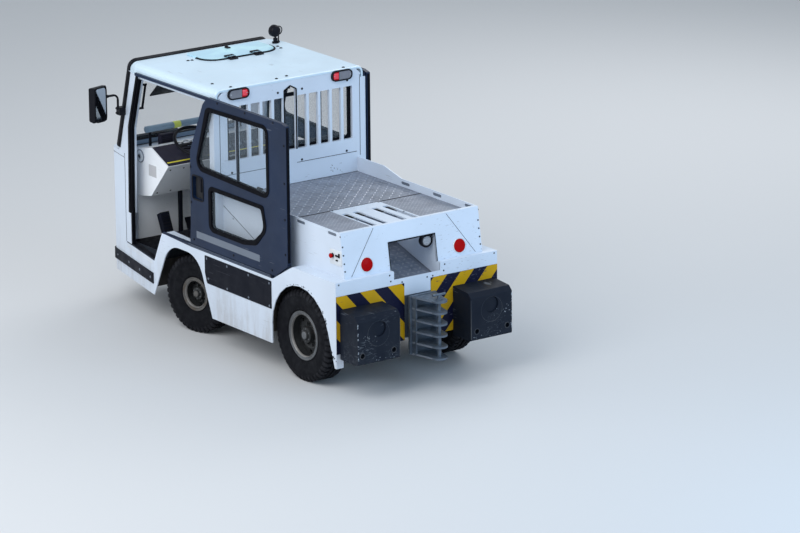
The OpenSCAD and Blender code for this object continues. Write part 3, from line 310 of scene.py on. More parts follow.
whitePaint = (0.66, 0.745, 0.865)
slatePaint = (0.0068, 0.0195, 0.056)
finish = {
    "body_paint": paintMaterial("white_paint", whitePaint),
    "body_slate": paintMaterial("slate_paint", slatePaint, grime=(0.13, 0.14, 0.16), grimeShare=0.35,
                                scratchColour=(0.16, 0.18, 0.21), scratch=0.5, grimeTop=0.5, shade=0.75,
                                coat=0.05, gloss=0.22),
    "black_metal": paintMaterial("black_paint", (0.0045, 0.006, 0.013), grime=(0.03, 0.032, 0.040),
                                 grimeShare=0.2, scratchColour=(0.10, 0.10, 0.12), coat=0.0, gloss=0.14,
                                 rough=(0.5, 0.7)),
    "frame_black": paintMaterial("chassis_paint", (0.022, 0.022, 0.025), grime=(0.10, 0.085, 0.07),
                                 grimeShare=0.8, grimeTop=1.1, rough=(0.5, 0.8), coat=0.0),
    "bare_plate": metalMaterial("deck_aluminium", (0.258, 0.285, 0.350), metallic=0.35, rough=(0.42, 0.62),
                                dark=0.74),
    "galvanised": metalMaterial("galvanised_steel", (0.120, 0.155, 0.205), spangle=0.4, rust=0.25,
                                metallic=0.4),
    "rim_paint": metalMaterial("rim_steel", (0.024, 0.026, 0.028), metallic=0.2, rust=0.3, rough=(0.55, 0.8)),
    "tyre": rubberMaterial("tyre_rubber", (0.0045, 0.005, 0.0075), (0.019, 0.020, 0.024), 0.42, 180, 0.0006,
                           (0.72, 0.92), 0.14),
    "plastic_black": plasticMaterial("black_plastic", (0.0035, 0.004, 0.008), (0.4, 0.6), 260, 0.0004, 0.15),
    "seal_rubber": rubberMaterial("seal_rubber", (0.0028, 0.0032, 0.006), (0.008, 0.008, 0.010), 0.35, 300,
                                  0.0003, (0.55, 0.75), 0.07),
    "seat_cover": rubberMaterial("seat_vinyl", (0.007, 0.007, 0.010), (0.018, 0.018, 0.022), 0.4, 320, 0.0005,
                                 (0.5, 0.65), 0.14),
    "dash_plastic": paintMaterial("cab_panel", (0.93, 0.96, 1.0), grimeShare=0.15, scratch=0.15),
    "floor_mat": rubberMaterial("cab_floor", (0.016, 0.021, 0.030), (0.055, 0.062, 0.075), 0.5, 120),
    "hazard_yellow": paintMaterial("hazard_yellow", (0.60, 0.345, 0.004), grime=(0.17, 0.13, 0.05),
                                   grimeTop=1.0, grimeShare=0.45, scratchColour=(0.04, 0.04, 0.05),
                                   scratch=0.75, scratchFrom=0.64, coat=0.0, gloss=0.15),
    "lamp_red": plasticMaterial("lamp_red", (0.37, 0.0004, 0.001), (0.2, 0.35), 500, 0.0002, 0.06),
    "lamp_clear": plasticMaterial("lamp_clear", (0.17, 0.175, 0.205), (0.1, 0.2), 500, 0.0002),
    "glazing": glassMaterial("glazing", (0.22, 0.27, 0.31), 0.12),
    "hatch_blue": plasticMaterial("hatch_blue", (0.47, 0.74, 0.90), (0.16, 0.26), 20, 0.0001),
}
extra = {
    "lug": rubberMaterial("tyre_lug", (0.0085, 0.009, 0.0125), (0.036, 0.037, 0.043), 0.5, 180, 0.0006,
                          (0.72, 0.92), 0.16),
    "mirror": plainMaterial("mirror_glass", (0.40, 0.44, 0.48), 0.05, 1.0),
    "chrome": metalMaterial("bright_steel", (0.55, 0.57, 0.60), metallic=0.95, rough=(0.12, 0.28), dark=0.85),
    "flange": metalMaterial("flange_paint", (0.125, 0.132, 0.142), metallic=0.2, rust=0.15,
                            rough=(0.45, 0.65)),
    "flangeRusty": metalMaterial("flange_rusty", (0.115, 0.110, 0.105), metallic=0.2, rust=0.7, rustFrom=0.50,
                                 rustColour=(0.075, 0.055, 0.038), rough=(0.55, 0.8)),
    "flangeLip": metalMaterial("flange_lip", (0.34, 0.33, 0.32), metallic=0.3, rough=(0.4, 0.6)),
    "treadBright": metalMaterial("tread_bright", (0.36, 0.385, 0.44), metallic=0.45, rough=(0.33, 0.48),
                                 dark=0.85),
    "navy": plasticMaterial("dash_top", (0.017, 0.016, 0.032), (0.6, 0.8), 260, 0.0003, 0.25),
    "ballast": paintMaterial("ballast_paint", (0.0045, 0.0085, 0.0185), grime=(0.030, 0.037, 0.047),
                             grimeShare=0.4, grimeTop=0.7, scratchColour=(0.17, 0.19, 0.22), scratch=0.75,
                             scratchFrom=0.60, coat=0.0, gloss=0.18, rough=(0.5, 0.75), orange=0.3),
    "stripe": plasticMaterial("bright_stripe", (0.70, 0.62, 0.03), (0.5, 0.7)),
    "bandGreen": plasticMaterial("band_green", (0.60, 0.68, 0.12), (0.5, 0.7)),
    "redBright": plasticMaterial("lamp_red_bright", (0.78, 0.045, 0.07), (0.15, 0.3), 500, 0.0002),
    "lens": plasticMaterial("lamp_lens", (0.48, 0.50, 0.54), (0.08, 0.18), 500, 0.0002),
    "rust": rubberMaterial("rust_mark", (0.055, 0.036, 0.028), (0.09, 0.06, 0.045), 0.6, 200, 0.0003),
    "chip": rubberMaterial("chip_mark", (0.030, 0.033, 0.042), (0.07, 0.075, 0.09), 0.6, 200, 0.0003),
    "paleChip": rubberMaterial("pale_mark", (0.36, 0.40, 0.45), (0.24, 0.27, 0.31), 0.6, 200, 0.0003),
    "slateLight": paintMaterial("slate_light", (0.13, 0.16, 0.21), grimeShare=0.2, scratch=0.3),
    "notice": paintMaterial("blank_notice", (0.56, 0.56, 0.58), grimeShare=0.2, scratch=0.1),
    "label": paintMaterial("blank_label", (0.72, 0.76, 0.80), grimeShare=0.2, scratch=0.1),
    "tube": plasticMaterial("blind_cloth", (0.20, 0.29, 0.38), (0.6, 0.8)),
    "hazardNavy": paintMaterial("hazard_navy", (0.0045, 0.006, 0.028), grime=(0.04, 0.04, 0.05),
                                grimeShare=0.3, grimeTop=1.0, scratchColour=(0.16, 0.17, 0.20), scratch=0.7,
                                scratchFrom=0.64, coat=0.0, gloss=0.14),
    # Roof: a lighter, bluer copy of the white paint, which puts painted skylight on the roof's top face
    "skylitRoofPaint": paintMaterial("roof_paint_painted_skylight", (0.64, 0.80, 0.93), grimeShare=0.2, scratch=0.3, shade=0.95),
    "workLens": plasticMaterial("work_lens", (0.20, 0.22, 0.25), (0.08, 0.2), 500, 0.0003),
    "cowl": plasticMaterial("cowl_trim", (0.20, 0.27, 0.36), (0.5, 0.7), 260, 0.0003, 0.3),
    "scuff": paintMaterial("faint_scuff", (0.022, 0.032, 0.048), scratch=0.2, coat=0.0, gloss=0.15),
    "darkGap": plainMaterial("dark_gap", (0.012, 0.013, 0.016), 0.8),
}

# Nodes whose look differs from the rest of their slot
special = {"ballast_blocks": "ballast", "dash_cover": "navy", "hazard_plates": "hazardNavy",
           "roof": "skylitRoofPaint"}


def paintOf(slotName, look=None):
    return extra[look] if look else finish[slotName]


for part in frame["record"]["subparts"]:
    node = frame["nodes"][part["node"]]
    node.data.materials.clear()
    node.data.materials.append(paintOf(part["material_slot"], special.get(part["node"])))
print("finishes laid on the nodes")


# Shapes
def rounded(corners, radius, steps=5):
    points = []
    count = len(corners)
    for index, corner in enumerate(corners):
        here = Vector(corner)
        r = radius[index] if isinstance(radius, (list, tuple)) else radius
        toLast = (Vector(corners[index - 1]) - here).normalized()
        toNext = (Vector(corners[(index + 1) % count]) - here).normalized()
        if r <= 0:
            points.append(here)
            continue
        half = math.acos(max(-1, min(1, toLast.dot(toNext)))) / 2
        middle = here + (toLast + toNext).normalized() * r / math.sin(half)
        first = here + toLast * r / math.tan(half) - middle
        last = here + toNext * r / math.tan(half) - middle
        start = math.atan2(first.y, first.x)
        sweep = (math.atan2(last.y, last.x) - start + math.pi) % (2 * math.pi) - math.pi
        for step in range(steps + 1):
            angle = start + sweep * step / steps
            points.append(middle + Vector((math.cos(angle), math.sin(angle))) * r)
    return points


def rectangle(x0, x1, y0, y1, margin=0.0):
    x0, x1, y0, y1 = x0 - margin, x1 + margin, y0 - margin, y1 + margin
    return [(x0, y0), (x1, y0), (x1, y1), (x0, y1)]


class Shape:
    def __init__(self):
        self.mesh = bmesh.new()

    def absorb(self, part, turn=None):
        if turn is not None:
            bmesh.ops.transform(part, matrix=turn, verts=part.verts)
        bmesh.ops.recalc_face_normals(part, faces=part.faces)
        scratch = bpy.data.meshes.new("scratch")
        part.to_mesh(scratch)
        part.free()
        self.mesh.from_mesh(scratch)
        bpy.data.meshes.remove(scratch)
        return self

    # The two corners may be given in any order
    def box(self, corner, opposite, edge=0.0, turn=None, steps=2):
        part = bmesh.new()
        bmesh.ops.create_cube(part, size=1)
        low, high = (Vector([pick(pair) for pair in zip(corner, opposite)]) for pick in (min, max))
        for vert in part.verts:
            vert.co = Vector([(low[i] + high[i]) / 2 + vert.co[i] * (high[i] - low[i]) for i in range(3)])
        if edge:
            bmesh.ops.bevel(part, geom=list(part.edges), offset=edge, segments=steps, profile=0.5,
                            affect="EDGES")
        return self.absorb(part, turn)

    # A straight bar from a to b: width across, depth towards facing, standing on the line
    def bar(self, a, b, width, depth, facing, edge=0.0):
        a, b = Vector(a), Vector(b)
        along = (b - a).normalized()
        out = Vector(facing)
        out = (out - along * out.dot(along)).normalized()
        turn = Matrix((along, out.cross(along), out)).transposed().to_4x4()
        turn.translation = a
        return self.box((0, -width / 2, 0), ((b - a).length, width / 2, depth), edge, turn)

    # Profile of (radius, height) pairs turned about an axis through base
    def turned(self, profile, base=(0, 0, 0), axis=upward, sides=32, closed=False):
        part = bmesh.new()
        loops = []
        for r, h in profile:
            if r < 1e-6:
                loops.append([part.verts.new((0, 0, h))])
                continue
            angles = [2 * math.pi * k / sides for k in range(sides)]
            loops.append([part.verts.new((r * math.cos(a), r * math.sin(a), h)) for a in angles])
        pairs = list(zip(loops, loops[1:])) + ([(loops[-1], loops[0])] if closed else [])
        for a, b in pairs:
            for k in range(sides):
                n = (k + 1) % sides
                corners = [a[k % len(a)], a[n % len(a)], b[n % len(b)], b[k % len(b)]]
                unique = []
                for vert in corners:
                    if vert not in unique:
                        unique.append(vert)
                if len(unique) > 2:
                    part.faces.new(unique)
        turn = Vector(upward).rotation_difference(Vector(axis)).to_matrix().to_4x4()
        turn.translation = Vector(base)
        return self.absorb(part, turn)

    def tube(self, points, radius, sides=10):
        part = bmesh.new()
        points = [Vector(p) for p in points]
        loops = []
        normal = None
        for k, point in enumerate(points):
            along = (points[min(k + 1, len(points) - 1)] - points[max(k - 1, 0)]).normalized()
            if normal is None:
                normal = along.orthogonal().normalized()
            normal = (normal - along * normal.dot(along)).normalized()
            across = along.cross(normal)
            angles = [2 * math.pi * s / sides for s in range(sides)]
            loops.append([part.verts.new(point + (normal * math.cos(a) + across * math.sin(a)) * radius)
                          for a in angles])
        for a, b in zip(loops, loops[1:]):
            for s in range(sides):
                part.faces.new((a[s], a[(s + 1) % sides], b[(s + 1) % sides], b[s]))
        part.faces.new(loops[0])
        part.faces.new(loops[-1])
        return self.absorb(part)

    # Outline in a plane through base, spanned by u and v, thickened along u x v; inner cuts a hole
    def plate(self, outline, base, u, v, thick, inner=None, edge=0.0):
        part = bmesh.new()
        u, v, base = Vector(u).normalized(), Vector(v).normalized(), Vector(base)
        out = u.cross(v)
        loops = []
        for line in [outline] + ([inner] if inner else []):
            for lift in (0, thick):
                loops.append([part.verts.new(base + u * p[0] + v * p[1] + out * lift) for p in line])
        count = len(outline)
        if inner:
            for a, b in ((loops[0], loops[2]), (loops[1], loops[3]), (loops[0], loops[1]),
                         (loops[2], loops[3])):
                for k in range(count):
                    n = (k + 1) % count
                    part.faces.new((a[k], a[n], b[n], b[k]))
        else:
            part.faces.new(loops[0])
            part.faces.new(loops[1])
            for k in range(count):
                n = (k + 1) % count
                part.faces.new((loops[0][k], loops[0][n], loops[1][n], loops[1][k]))
        if edge and not inner:
            rim = [e for e in part.edges if all(abs((v.co - base).dot(out) - thick) < 1e-6 for v in e.verts)]
            bmesh.ops.recalc_face_normals(part, faces=part.faces)
            bmesh.ops.bevel(part, geom=rim, offset=edge, segments=2, profile=0.5, affect="EDGES")
        return self.absorb(part)


def settle(mesh, name, slotName, body="vehicle", look=None, smooth=35, turn=None):
    if turn is not None:
        mesh.transform(turn)
    mesh.transform(Matrix.Translation((axleX, 0, 0)))
    mesh.materials.clear()
    mesh.materials.append(paintOf(slotName, look))
    mesh.shade_smooth()
    mesh.set_sharp_from_angle(angle=math.radians(smooth))
    mesh.name = name
    made = bpy.data.objects.new(name, mesh)
    scene.collection.objects.link(made)
    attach(made, body)
    return made


def meshOf(shape):
    mesh = bpy.data.meshes.new("seed")
    shape.mesh.to_mesh(mesh)
    shape.mesh.free()
    return mesh


def piece(shape, name, slotName, body="vehicle", look=None, smooth=35, turn=None):
    return settle(meshOf(shape), name, slotName, body, look, smooth, turn)


# Trees that repeat a shape
class Tree(NodeMaker):
    def __init__(self, name, inputs):
        super().__init__(bpy.data.node_groups.new(name, "GeometryNodeTree"))
        face = self.tree.interface
        face.new_socket("Geometry", in_out="INPUT", socket_type="NodeSocketGeometry")
        self.keys = {}
        for label, (kind, value) in {**inputs, "Material": ("Material", None)}.items():
            socket = face.new_socket(label, in_out="INPUT", socket_type="NodeSocket" + kind)
            if value is not None:
                socket.default_value = value
            self.keys[label] = socket.identifier
        face.new_socket("Geometry", in_out="OUTPUT", socket_type="NodeSocketGeometry")
        self.start = self.add("NodeGroupInput").outputs

    def alongZ(self, value):
        node = self.add("ShaderNodeCombineXYZ")
        self.feed(value, node.inputs["Z"])
        return node.outputs["Vector"]

    # One copy on each point, made real and painted, ends the tree
    def close(self, points, instance, rotation):
        copies = self.add("GeometryNodeInstanceOnPoints")
        for out, name in ((points, "Points"), (instance, "Instance"), (rotation, "Rotation")):
            self.join(out, copies.inputs[name])
        realize = self.add("GeometryNodeRealizeInstances")
        paint = self.add("GeometryNodeSetMaterial")
        end = self.add("NodeGroupOutput")
        self.join(copies.outputs["Instances"], realize.inputs["Geometry"])
        self.join(realize.outputs["Geometry"], paint.inputs["Geometry"])
        self.join(self.start["Material"], paint.inputs["Material"])
        self.join(paint.outputs["Geometry"], end.inputs["Geometry"])
        return self


def ringTree():
    tree = Tree("ring_of_copies", {"Count": ("Int", 8), "Turn": ("Float", 0.0)})
    count = tree.start["Count"]
    points = tree.add("GeometryNodePoints")
    tree.join(count, points.inputs["Count"])
    step = tree.calc("DIVIDE", 2 * math.pi, count)
    angle = tree.times(tree.add("GeometryNodeInputIndex").outputs["Index"], step)
    angle = tree.plus(angle, tree.start["Turn"])
    return tree.close(points.outputs[0], tree.start["Geometry"], tree.alongZ(angle))


def gridTree():
    tree = Tree("grid_of_copies", {"Columns": ("Int", 4), "Rows": ("Int", 4), "Pitch": ("Float", 0.03)})
    columns, rows, pitch = (tree.start[k] for k in ("Columns", "Rows", "Pitch"))
    grid = tree.add("GeometryNodeMeshGrid")
    for axis, count in (("X", columns), ("Y", rows)):
        tree.join(tree.times(tree.calc("SUBTRACT", count, 1), pitch), grid.inputs["Size " + axis])
        tree.join(count, grid.inputs["Vertices " + axis])
    # Every second copy lies across the others, as on tread plate
    index = tree.add("GeometryNodeInputIndex").outputs["Index"]
    column = tree.calc("FLOOR", tree.calc("DIVIDE", tree.plus(index, 0.5), rows), 0)
    row = tree.calc("SUBTRACT", index, tree.times(column, rows))
    odd = tree.calc("MODULO", tree.plus(column, row), 2)
    angle = tree.plus(tree.times(odd, math.pi / 2), math.pi / 4)
    return tree.close(grid.outputs["Mesh"], tree.start["Geometry"], tree.alongZ(angle))


def boltTree():
    tree = Tree("bolts_at_points", {"Radius": ("Float", 0.008), "Height": ("Float", 0.005),
                                    "Sides": ("Int", 6)})
    radius, height, sides = (tree.start[k] for k in ("Radius", "Height", "Sides"))
    both = tree.add("GeometryNodeJoinGeometry")
    # A head, and a thin washer half as wide again
    for wide, share, corners in ((1.0, 1.0, sides), (1.5, 0.3, 20)):
        head = tree.add("GeometryNodeMeshCylinder")
        tree.feed(corners, head.inputs["Vertices"])
        depth = tree.times(height, share)
        tree.join(tree.times(radius, wide), head.inputs["Radius"])
        tree.join(depth, head.inputs["Depth"])
        lift = tree.add("GeometryNodeTransform")
        tree.join(head.outputs["Mesh"], lift.inputs["Geometry"])
        tree.join(tree.alongZ(tree.times(depth, 0.5)), lift.inputs["Translation"])
        tree.join(lift.outputs["Geometry"], both.inputs["Geometry"])
    facing = tree.add("GeometryNodeInputNamedAttribute", data_type="FLOAT_VECTOR")
    facing.inputs["Name"].default_value = "facing"
    turn = tree.add("FunctionNodeAlignRotationToVector", axis="Z")
    tree.join(facing.outputs["Attribute"], turn.inputs["Vector"])
    return tree.close(tree.start["Geometry"], both.outputs["Geometry"], turn.outputs["Rotation"])


def grow(tree, mesh, name, values, slotName, body="vehicle", look=None, smooth=35, turn=None):
    seed = bpy.data.objects.new(name + "_seed", mesh)
    scene.collection.objects.link(seed)
    modifier = seed.modifiers.new("grow", "NODES")
    modifier.node_group = tree.tree
    for label, value in {**values, "Material": paintOf(slotName, look)}.items():
        modifier[tree.keys[label]] = value
    bpy.context.view_layer.update()
    graph = bpy.context.evaluated_depsgraph_get()
    grown = bpy.data.meshes.new_from_object(seed.evaluated_get(graph), depsgraph=graph)
    seed.modifiers.remove(modifier)
    bpy.data.objects.remove(seed)
    return settle(grown, name, slotName, body, look, smooth, turn)


ringOfCopies, gridOfCopies, boltsAtPoints = ringTree(), gridTree(), boltTree()


# Each place is a point and the direction that its bolt faces
def bolts(name, places, radius, height, slotName, body="vehicle", look=None, sides=6, turn=None):
    mesh = bpy.data.meshes.new(name)
    mesh.from_pydata([p for p, facing in places], [], [])
    attribute = mesh.attributes.new("facing", "FLOAT_VECTOR", "POINT")
    for index, (p, facing) in enumerate(places):
        attribute.data[index].vector = facing
    values = {"Radius": radius, "Height": height, "Sides": sides}
    return grow(boltsAtPoints, mesh, name, values, slotName, body, look, 35, turn)


# Wheels
steerRest = math.radians(12.4)
wheelSpec = {
    "rear": {"r": 0.340, "w": 0.192, "bead": 0.166, "hub": 0.058, "hubOut": 0.048, "pitches": 46, "nuts": 8,
             "x": 0, "y": 0.579},
    "front": {"r": 0.294, "w": 0.177, "bead": 0.112, "hub": 0.046, "hubOut": 0.042, "pitches": 42, "nuts": 8,
              "x": 1.537, "kingpinY": 0.420, "kingpinOff": 0.1155},
}


def wheelTurn(end, side):
    spec = wheelSpec[end]
    if end == "rear":
        out, middle = Vector((0, side, 0)), Vector((spec["x"], side * spec["y"], spec["r"]))
    else:
        out = Vector((-math.sin(steerRest), math.cos(steerRest), 0)) * side
        middle = Vector((spec["x"], side * spec["kingpinY"], spec["r"])) + out * spec["kingpinOff"]
    up = Vector(upward)
    turn = Matrix((up, out.cross(up), out)).transposed().to_4x4()
    turn.translation = middle
    return turn


def buildWheel(end, side, label):
    spec = wheelSpec[end]
    r, w, bead = spec["r"], spec["w"], spec["bead"]
    turn = wheelTurn(end, side)
    body = "wheel_" + label
    seat = w * 0.36 - 0.0028
    deep = 0.0105
    middle = (bead + r) / 2
    half = [
        (bead + 0.0008, seat - 0.004), (bead + 0.0175, seat), (bead + 0.026, seat + 0.007),
        (bead + 0.031, seat + 0.013), (bead + 0.035, seat + 0.0125),
        (middle - 0.014, w * 0.493), (middle, w * 0.499), (middle + 0.014, w * 0.497),
        (r - 0.052, w * 0.486), (r - 0.049, w * 0.493), (r - 0.044, w * 0.492), (r - 0.036, w * 0.476),
        (r - 0.020, w * 0.448), (r - deep, w * 0.40),
    ]
    crown = [(r - deep, w * 0.175), (r - 0.002, w * 0.170), (r - 0.001, w * 0.052), (r - deep, w * 0.045)]
    line = half + crown
    profile = [(p[0], -p[1]) for p in line] + line[::-1]
    carcass = piece(Shape().turned(profile, sides=96), "tyre_body_" + label, "tyre", body, None, 28, turn)
    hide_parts("tyre_" + label)
    # Lugs on the shoulders, and blocks between them on the crown
    shoulder = [(r - 0.016, 0.205), (r - 0.0012, 0.205), (r, 0.215), (r, 0.392), (r - 0.004, 0.410),
                (r - 0.020, 0.467), (r - 0.040, 0.489), (r - 0.047, 0.480)]
    step = math.pi / spec["pitches"]
    reach = step * r * 0.60
    lug, cut = Shape(), Shape()
    for flip in (1, -1):
        outline = [(x, z * w * flip) for x, z in shoulder]
        lug.plate(outline, (0, reach * flip, 0), forward, upward, 2 * reach * flip, None, 0.0012)
        cut.box((r - 0.003, -reach * 0.82, 0.060 * w * flip), (r - 0.0002, reach * 0.82, 0.165 * w * flip),
                0.0008)
    for shape, name, start in ((lug, "tyre_lugs_", 0.0), (cut, "tyre_blocks_", step)):
        grow(ringOfCopies, meshOf(shape), name + label, {"Count": spec["pitches"], "Turn": start}, "tyre",
             body, "lug", 28, turn)
    # Flange with its two lines, hub cap, nuts and valve on the rim
    face = w * 0.36 + 0.0028
    ring = [(bead - 0.008, face - 0.004), (bead - 0.008, face + 0.001), (bead - 0.003, face + 0.0045),
            (bead + 0.002, face + 0.002), (bead + 0.006, face + 0.002), (bead + 0.011, face + 0.0055),
            (bead + 0.0165, face + 0.004), (bead + 0.0168, face - 0.002)]
    look = "flangeRusty" if end == "front" else "flange"
    piece(Shape().turned(ring, sides=96, closed=True), "flange_" + label, "rim_paint", body, look, 40, turn)
    lip = [(bead - 0.013, face - 0.014), (bead - 0.013, face - 0.003), (bead - 0.0082, face + 0.0035),
           (bead - 0.0078, face - 0.016)]
    piece(Shape().turned(lip, sides=96, closed=True), "flange_lip_" + label, "rim_paint", body, "flangeLip",
          40, turn)
    hub, out = spec["hub"], spec["hubOut"]
    disc = w * 0.02
    cap = Shape().turned([(hub * 0.99, out - 0.004), (hub * 0.97, out + 0.003), (hub * 0.80, out + 0.005),
                          (hub * 0.62, out + 0.006), (hub * 0.60, out + 0.016), (hub * 0.52, out + 0.020),
                          (0, out + 0.021)], sides=40)
    cap.turned([(hub + 0.001, disc - 0.002), (hub + 0.004, disc + 0.008), (hub + 0.001, disc + 0.012)],
               sides=40, closed=True)
    piece(cap, "hub_cap_" + label, "rim_paint", body, None, 30, turn)
    dust = Shape().turned([(hub * 0.50, out + 0.0195), (hub * 0.46, out + 0.0225), (0, out + 0.0235)],
                          sides=32)
    piece(dust, "hub_dust_cap_" + label, "rim_paint", body, look, 30, turn)

    def circle(radius, count, first, z):
        angles = [2 * math.pi * (k + first) / count for k in range(count)]
        return [((radius * math.cos(a), radius * math.sin(a), z), upward) for a in angles]

    nuts = circle((hub + bead * 0.62) / 2, spec["nuts"], 0.5, disc + 0.0048)
    bolts("wheel_nuts_" + label, nuts, 0.0100, 0.015, "rim_paint", body, None, 6, turn)
    bolts("hub_screws_" + label, circle(hub * 0.78, 6, 0, out + 0.0045), 0.0042, 0.005, "rim_paint", body,
          "flange", 6, turn)
    stem = [(bead * 0.80, 0, disc + 0.004), (bead * 0.84, 0, disc + 0.020), (bead * 0.88, 0, disc + 0.034)]
    piece(Shape().tube(stem, 0.0035, 8), "valve_" + label, "galvanised", body, "chrome", 40, turn)


for end in ("rear", "front"):
    for side, label in ((1, "left"), (-1, "right")):
        buildWheel(end, side, end + "_" + label)

print("wheels done")


# Load deck and rear box
lensSpec = {"long": 0.0195, "wide": 0.0080, "high": 0.0026}
fineSpec = {"long": 0.0072, "wide": 0.0024, "high": 0.0011}


def lensShape(spec):
    a, b, h = spec["long"], spec["wide"], spec["high"]
    part = bmesh.new()
    rim = [part.verts.new(p) for p in (
        (a, 0, 0), (a * 0.55, b * 0.8, 0), (0, b, 0), (-a * 0.55, b * 0.8, 0),
        (-a, 0, 0), (-a * 0.55, -b * 0.8, 0), (0, -b, 0), (a * 0.55, -b * 0.8, 0))]
    top = [part.verts.new(p) for p in ((a * 0.6, 0, h), (-a * 0.6, 0, h))]
    for k, crest in enumerate((0, 0, 1, 1, 1, 1, 0, 0)):
        part.faces.new((rim[k], rim[(k + 1) % 8], top[crest]))
    part.faces.new((rim[2], top[1], top[0]))
    part.faces.new((rim[6], top[0], top[1]))
    part.faces.new(rim)
    return Shape().absorb(part)


deckSpec = {
    "pitch": 0.0455, "fine": 0.0175, "seam": 0.272, "cab": 1.078, "half": 0.602, "z": 1.139, "margin": 0.01,
    "gripX": (-0.405, 0.262), "gripY": (0.227, 0.598), "rampX": (-0.492, 0.026), "rampZ": (0.7282, 0.8834),
    "rampHalf": 0.198,
    # Height over the deck, distance from the middle and places along it
    "screws": ((0.0005, 0.59, (-0.40, -0.17, 0.06, 0.255)), (0.0, 0.594, (0.30, 0.68, 1.06)),
               (0.002, 0.205, (-0.40, -0.06, 0.255))),
}


def layTread(name, lens, long, wide, pitch, turn):
    sizes = {"Columns": int(long / pitch), "Rows": int(wide / pitch), "Pitch": pitch}
    grow(gridOfCopies, meshOf(lensShape(lens)), name, sizes, "bare_plate", "vehicle", "treadBright", 20, turn)


def buildDeck(spec):
    z, margin = spec["z"], spec["margin"]
    turn = Matrix.Translation(((spec["cab"] + spec["seam"]) / 2, 0, z))
    layTread("deck_diamonds", lensSpec, spec["cab"] - spec["seam"] - margin, 2 * spec["half"] - margin,
             spec["pitch"], turn)
    (x0, x1), (z0, z1) = spec["rampX"], spec["rampZ"]
    lean = math.atan2(z1 - z0, x1 - x0)
    turn = Matrix.Translation(((x0 + x1) / 2, 0, (z0 + z1) / 2 + 0.0005)) @ Matrix.Rotation(-lean, 4, "Y")
    layTread("ramp_diamonds", lensSpec, math.hypot(x1 - x0, z1 - z0), 2 * spec["rampHalf"], spec["pitch"],
             turn)
    (x0, x1), (y0, y1) = spec["gripX"], spec["gripY"]
    for side, label in ((1, "left"), (-1, "right")):
        turn = Matrix.Translation(((x0 + x1) / 2, side * (y0 + y1) / 2, z))
        layTread("deck_grip_" + label, fineSpec, x1 - x0, y1 - y0, spec["fine"], turn)
    screws = [((x, side * y, z + lift), upward) for lift, y, row in spec["screws"] for side in (1, -1)
              for x in row]
    bolts("deck_screws", screws, 0.006, 0.0025, "galvanised", look="chrome", sides=12)


# Foot, run and rise of the upper box's leaning rear face
leanSpec = {"x": -0.469, "z": 0.858, "run": 0.052, "rise": 0.333}
leanOut = Vector((-leanSpec["rise"], 0, leanSpec["run"])).normalized()


def leanX(z):
    return leanSpec["x"] + leanSpec["run"] * (z - leanSpec["z"]) / leanSpec["rise"]


def onLean(y, z, off):
    return (leanX(z) - off, y, z)


boxSpec = {
    "lamp": (0.411, 0.936, 0.058), "stopPlate": (-0.439, -0.294, 0.945, 1.057), "button": (-0.330, 1.012),
    "switches": ((-0.385, 1.018, 0.034, 0.012), (-0.412, 1.024, 0.014, 0.030), (-0.385, 0.985, 0.022, 0.010)),
    "workLamp": (-0.147, 1.010), "half": 0.611, "wall": 0.2052, "recessZ": (0.858, 1.056), "recessY": 0.2065,
    "slots": (0.469, 0.073, -0.320), "leanBolts": (0.600, (0.915, 0.97, 1.03, 1.09)), "rearX": -0.5075,
    "rearBolts": ((0.2440, 0.836), (0.235, 0.790), (0.69, 0.842)),
    "middleBolts": (0.768, (0.135, -0.087, -0.137)),
    "sideBolts": ((0.70, 0.885), (0.95, 1.00), (0.30, 0.80), (-0.42, 1.165), (0.60, 1.20), (1.04, 1.225)),
}


